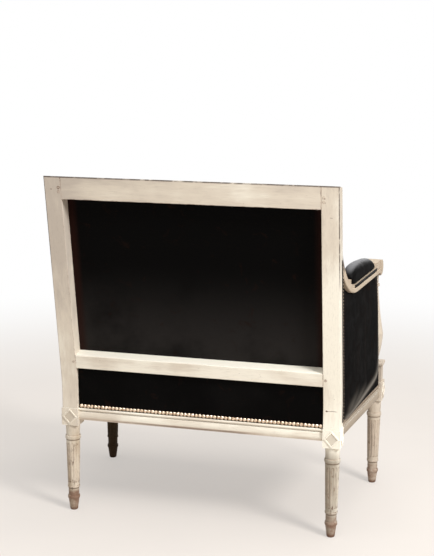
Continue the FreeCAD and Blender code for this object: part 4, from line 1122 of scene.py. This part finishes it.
white = (1.0, 1.0, 1.0)
studio = dict(floorColour=(0.64, 0.58, 0.52), cloudShade=0.96, floorRough=0.85, floorShine=0.15,
              floorDrop=0.0003, floorReach=9.0, glowColour=(1.0, 0.93, 0.87), floorGlow=0.455, fadeFrom=0.9,
              fadeTo=3.0, ambient=0.50, keyPlace=(-2.7, 1.8, 2.9), keySize=1.1, keyPower=140.0,
              topPlace=(-0.5, 0.5, 3.4), topSize=2.2, topPower=60.0, lampAim=(0.0, 0.0, 0.45))


def backgroundRays(tree):
    seen = put(tree, "ShaderNodeLightPath", output="Is Camera Ray")
    for kind in ("Is Glossy Ray", "Is Transmission Ray"):
        seen = seen.larger(put(tree, "ShaderNodeLightPath", output=kind))
    return seen


def makeFloor():
    # Pale matt floor that goes over to plain white away from the chair.
    finish, tree, place, shader = newFinish("paleFloor")
    cloud = place.noise(2.5, 3.0).spread(0.3, 0.7)
    darker = shaded(studio["floorColour"], studio["cloudShade"])
    feed(shader, "Base Color", layered(tree, studio["floorColour"], [(cloud, darker)]))
    feed(shader, "Roughness", studio["floorRough"])
    feed(shader, "Specular IOR Level", studio["floorShine"])
    away = put(tree, "ShaderNodeVectorMath", {0: place}, "Value", operation="LENGTH")
    fade = away.spread(studio["fadeFrom"], studio["fadeTo"], studio["floorGlow"], 1.0)
    glow = put(tree, "ShaderNodeEmission", {"Color": layered(tree, studio["glowColour"], [(fade, white)])})
    inputs = {0: fade * backgroundRays(tree), 1: Wire(tree, shader.outputs[0]), 2: glow}
    output = next(node for node in tree.nodes if node.type == "OUTPUT_MATERIAL")
    feed(output, 0, put(tree, "ShaderNodeMixShader", inputs))
    reach, level = studio["floorReach"], -studio["floorDrop"]
    corners = np.array([[x, y, level] for x in (-reach, reach) for y in (-reach, reach)])
    floor = newPiece("paleFloor", corners, [np.array([[0, 2, 3, 1]])], finish, closed=False)


def makeWorld():
    world = bpy.data.worlds.new("studioWorld")
    world.use_nodes = True
    scene.world = world
    tree = world.node_tree
    tree.nodes.clear()
    strength = backgroundRays(tree).spread(0.0, 1.0, studio["ambient"], 1.0, "LINEAR")
    sky = put(tree, "ShaderNodeBackground", {"Color": white, "Strength": strength})
    feed(tree.nodes.new("ShaderNodeOutputWorld"), 0, sky)


def softLamp(name, place, size, power):
    data = bpy.data.lights.new(name, "AREA")
    data.shape = "DISK"
    data.size = size
    data.energy = power
    lamp = bpy.data.objects.new(name, data)
    scene.collection.objects.link(lamp)
    lamp.location = place
    lamp.rotation_mode = "QUATERNION"
    lamp.rotation_quaternion = (Vector(studio["lampAim"]) - Vector(place)).to_track_quat("-Z", "Y")


makeFloor()
makeWorld()
softLamp("keyLamp", studio["keyPlace"], studio["keySize"], studio["keyPower"])
softLamp("topLamp", studio["topPlace"], studio["topSize"], studio["topPower"])
scene.view_settings.view_transform = "Standard"
print("studio: floor, world and two soft lamps")
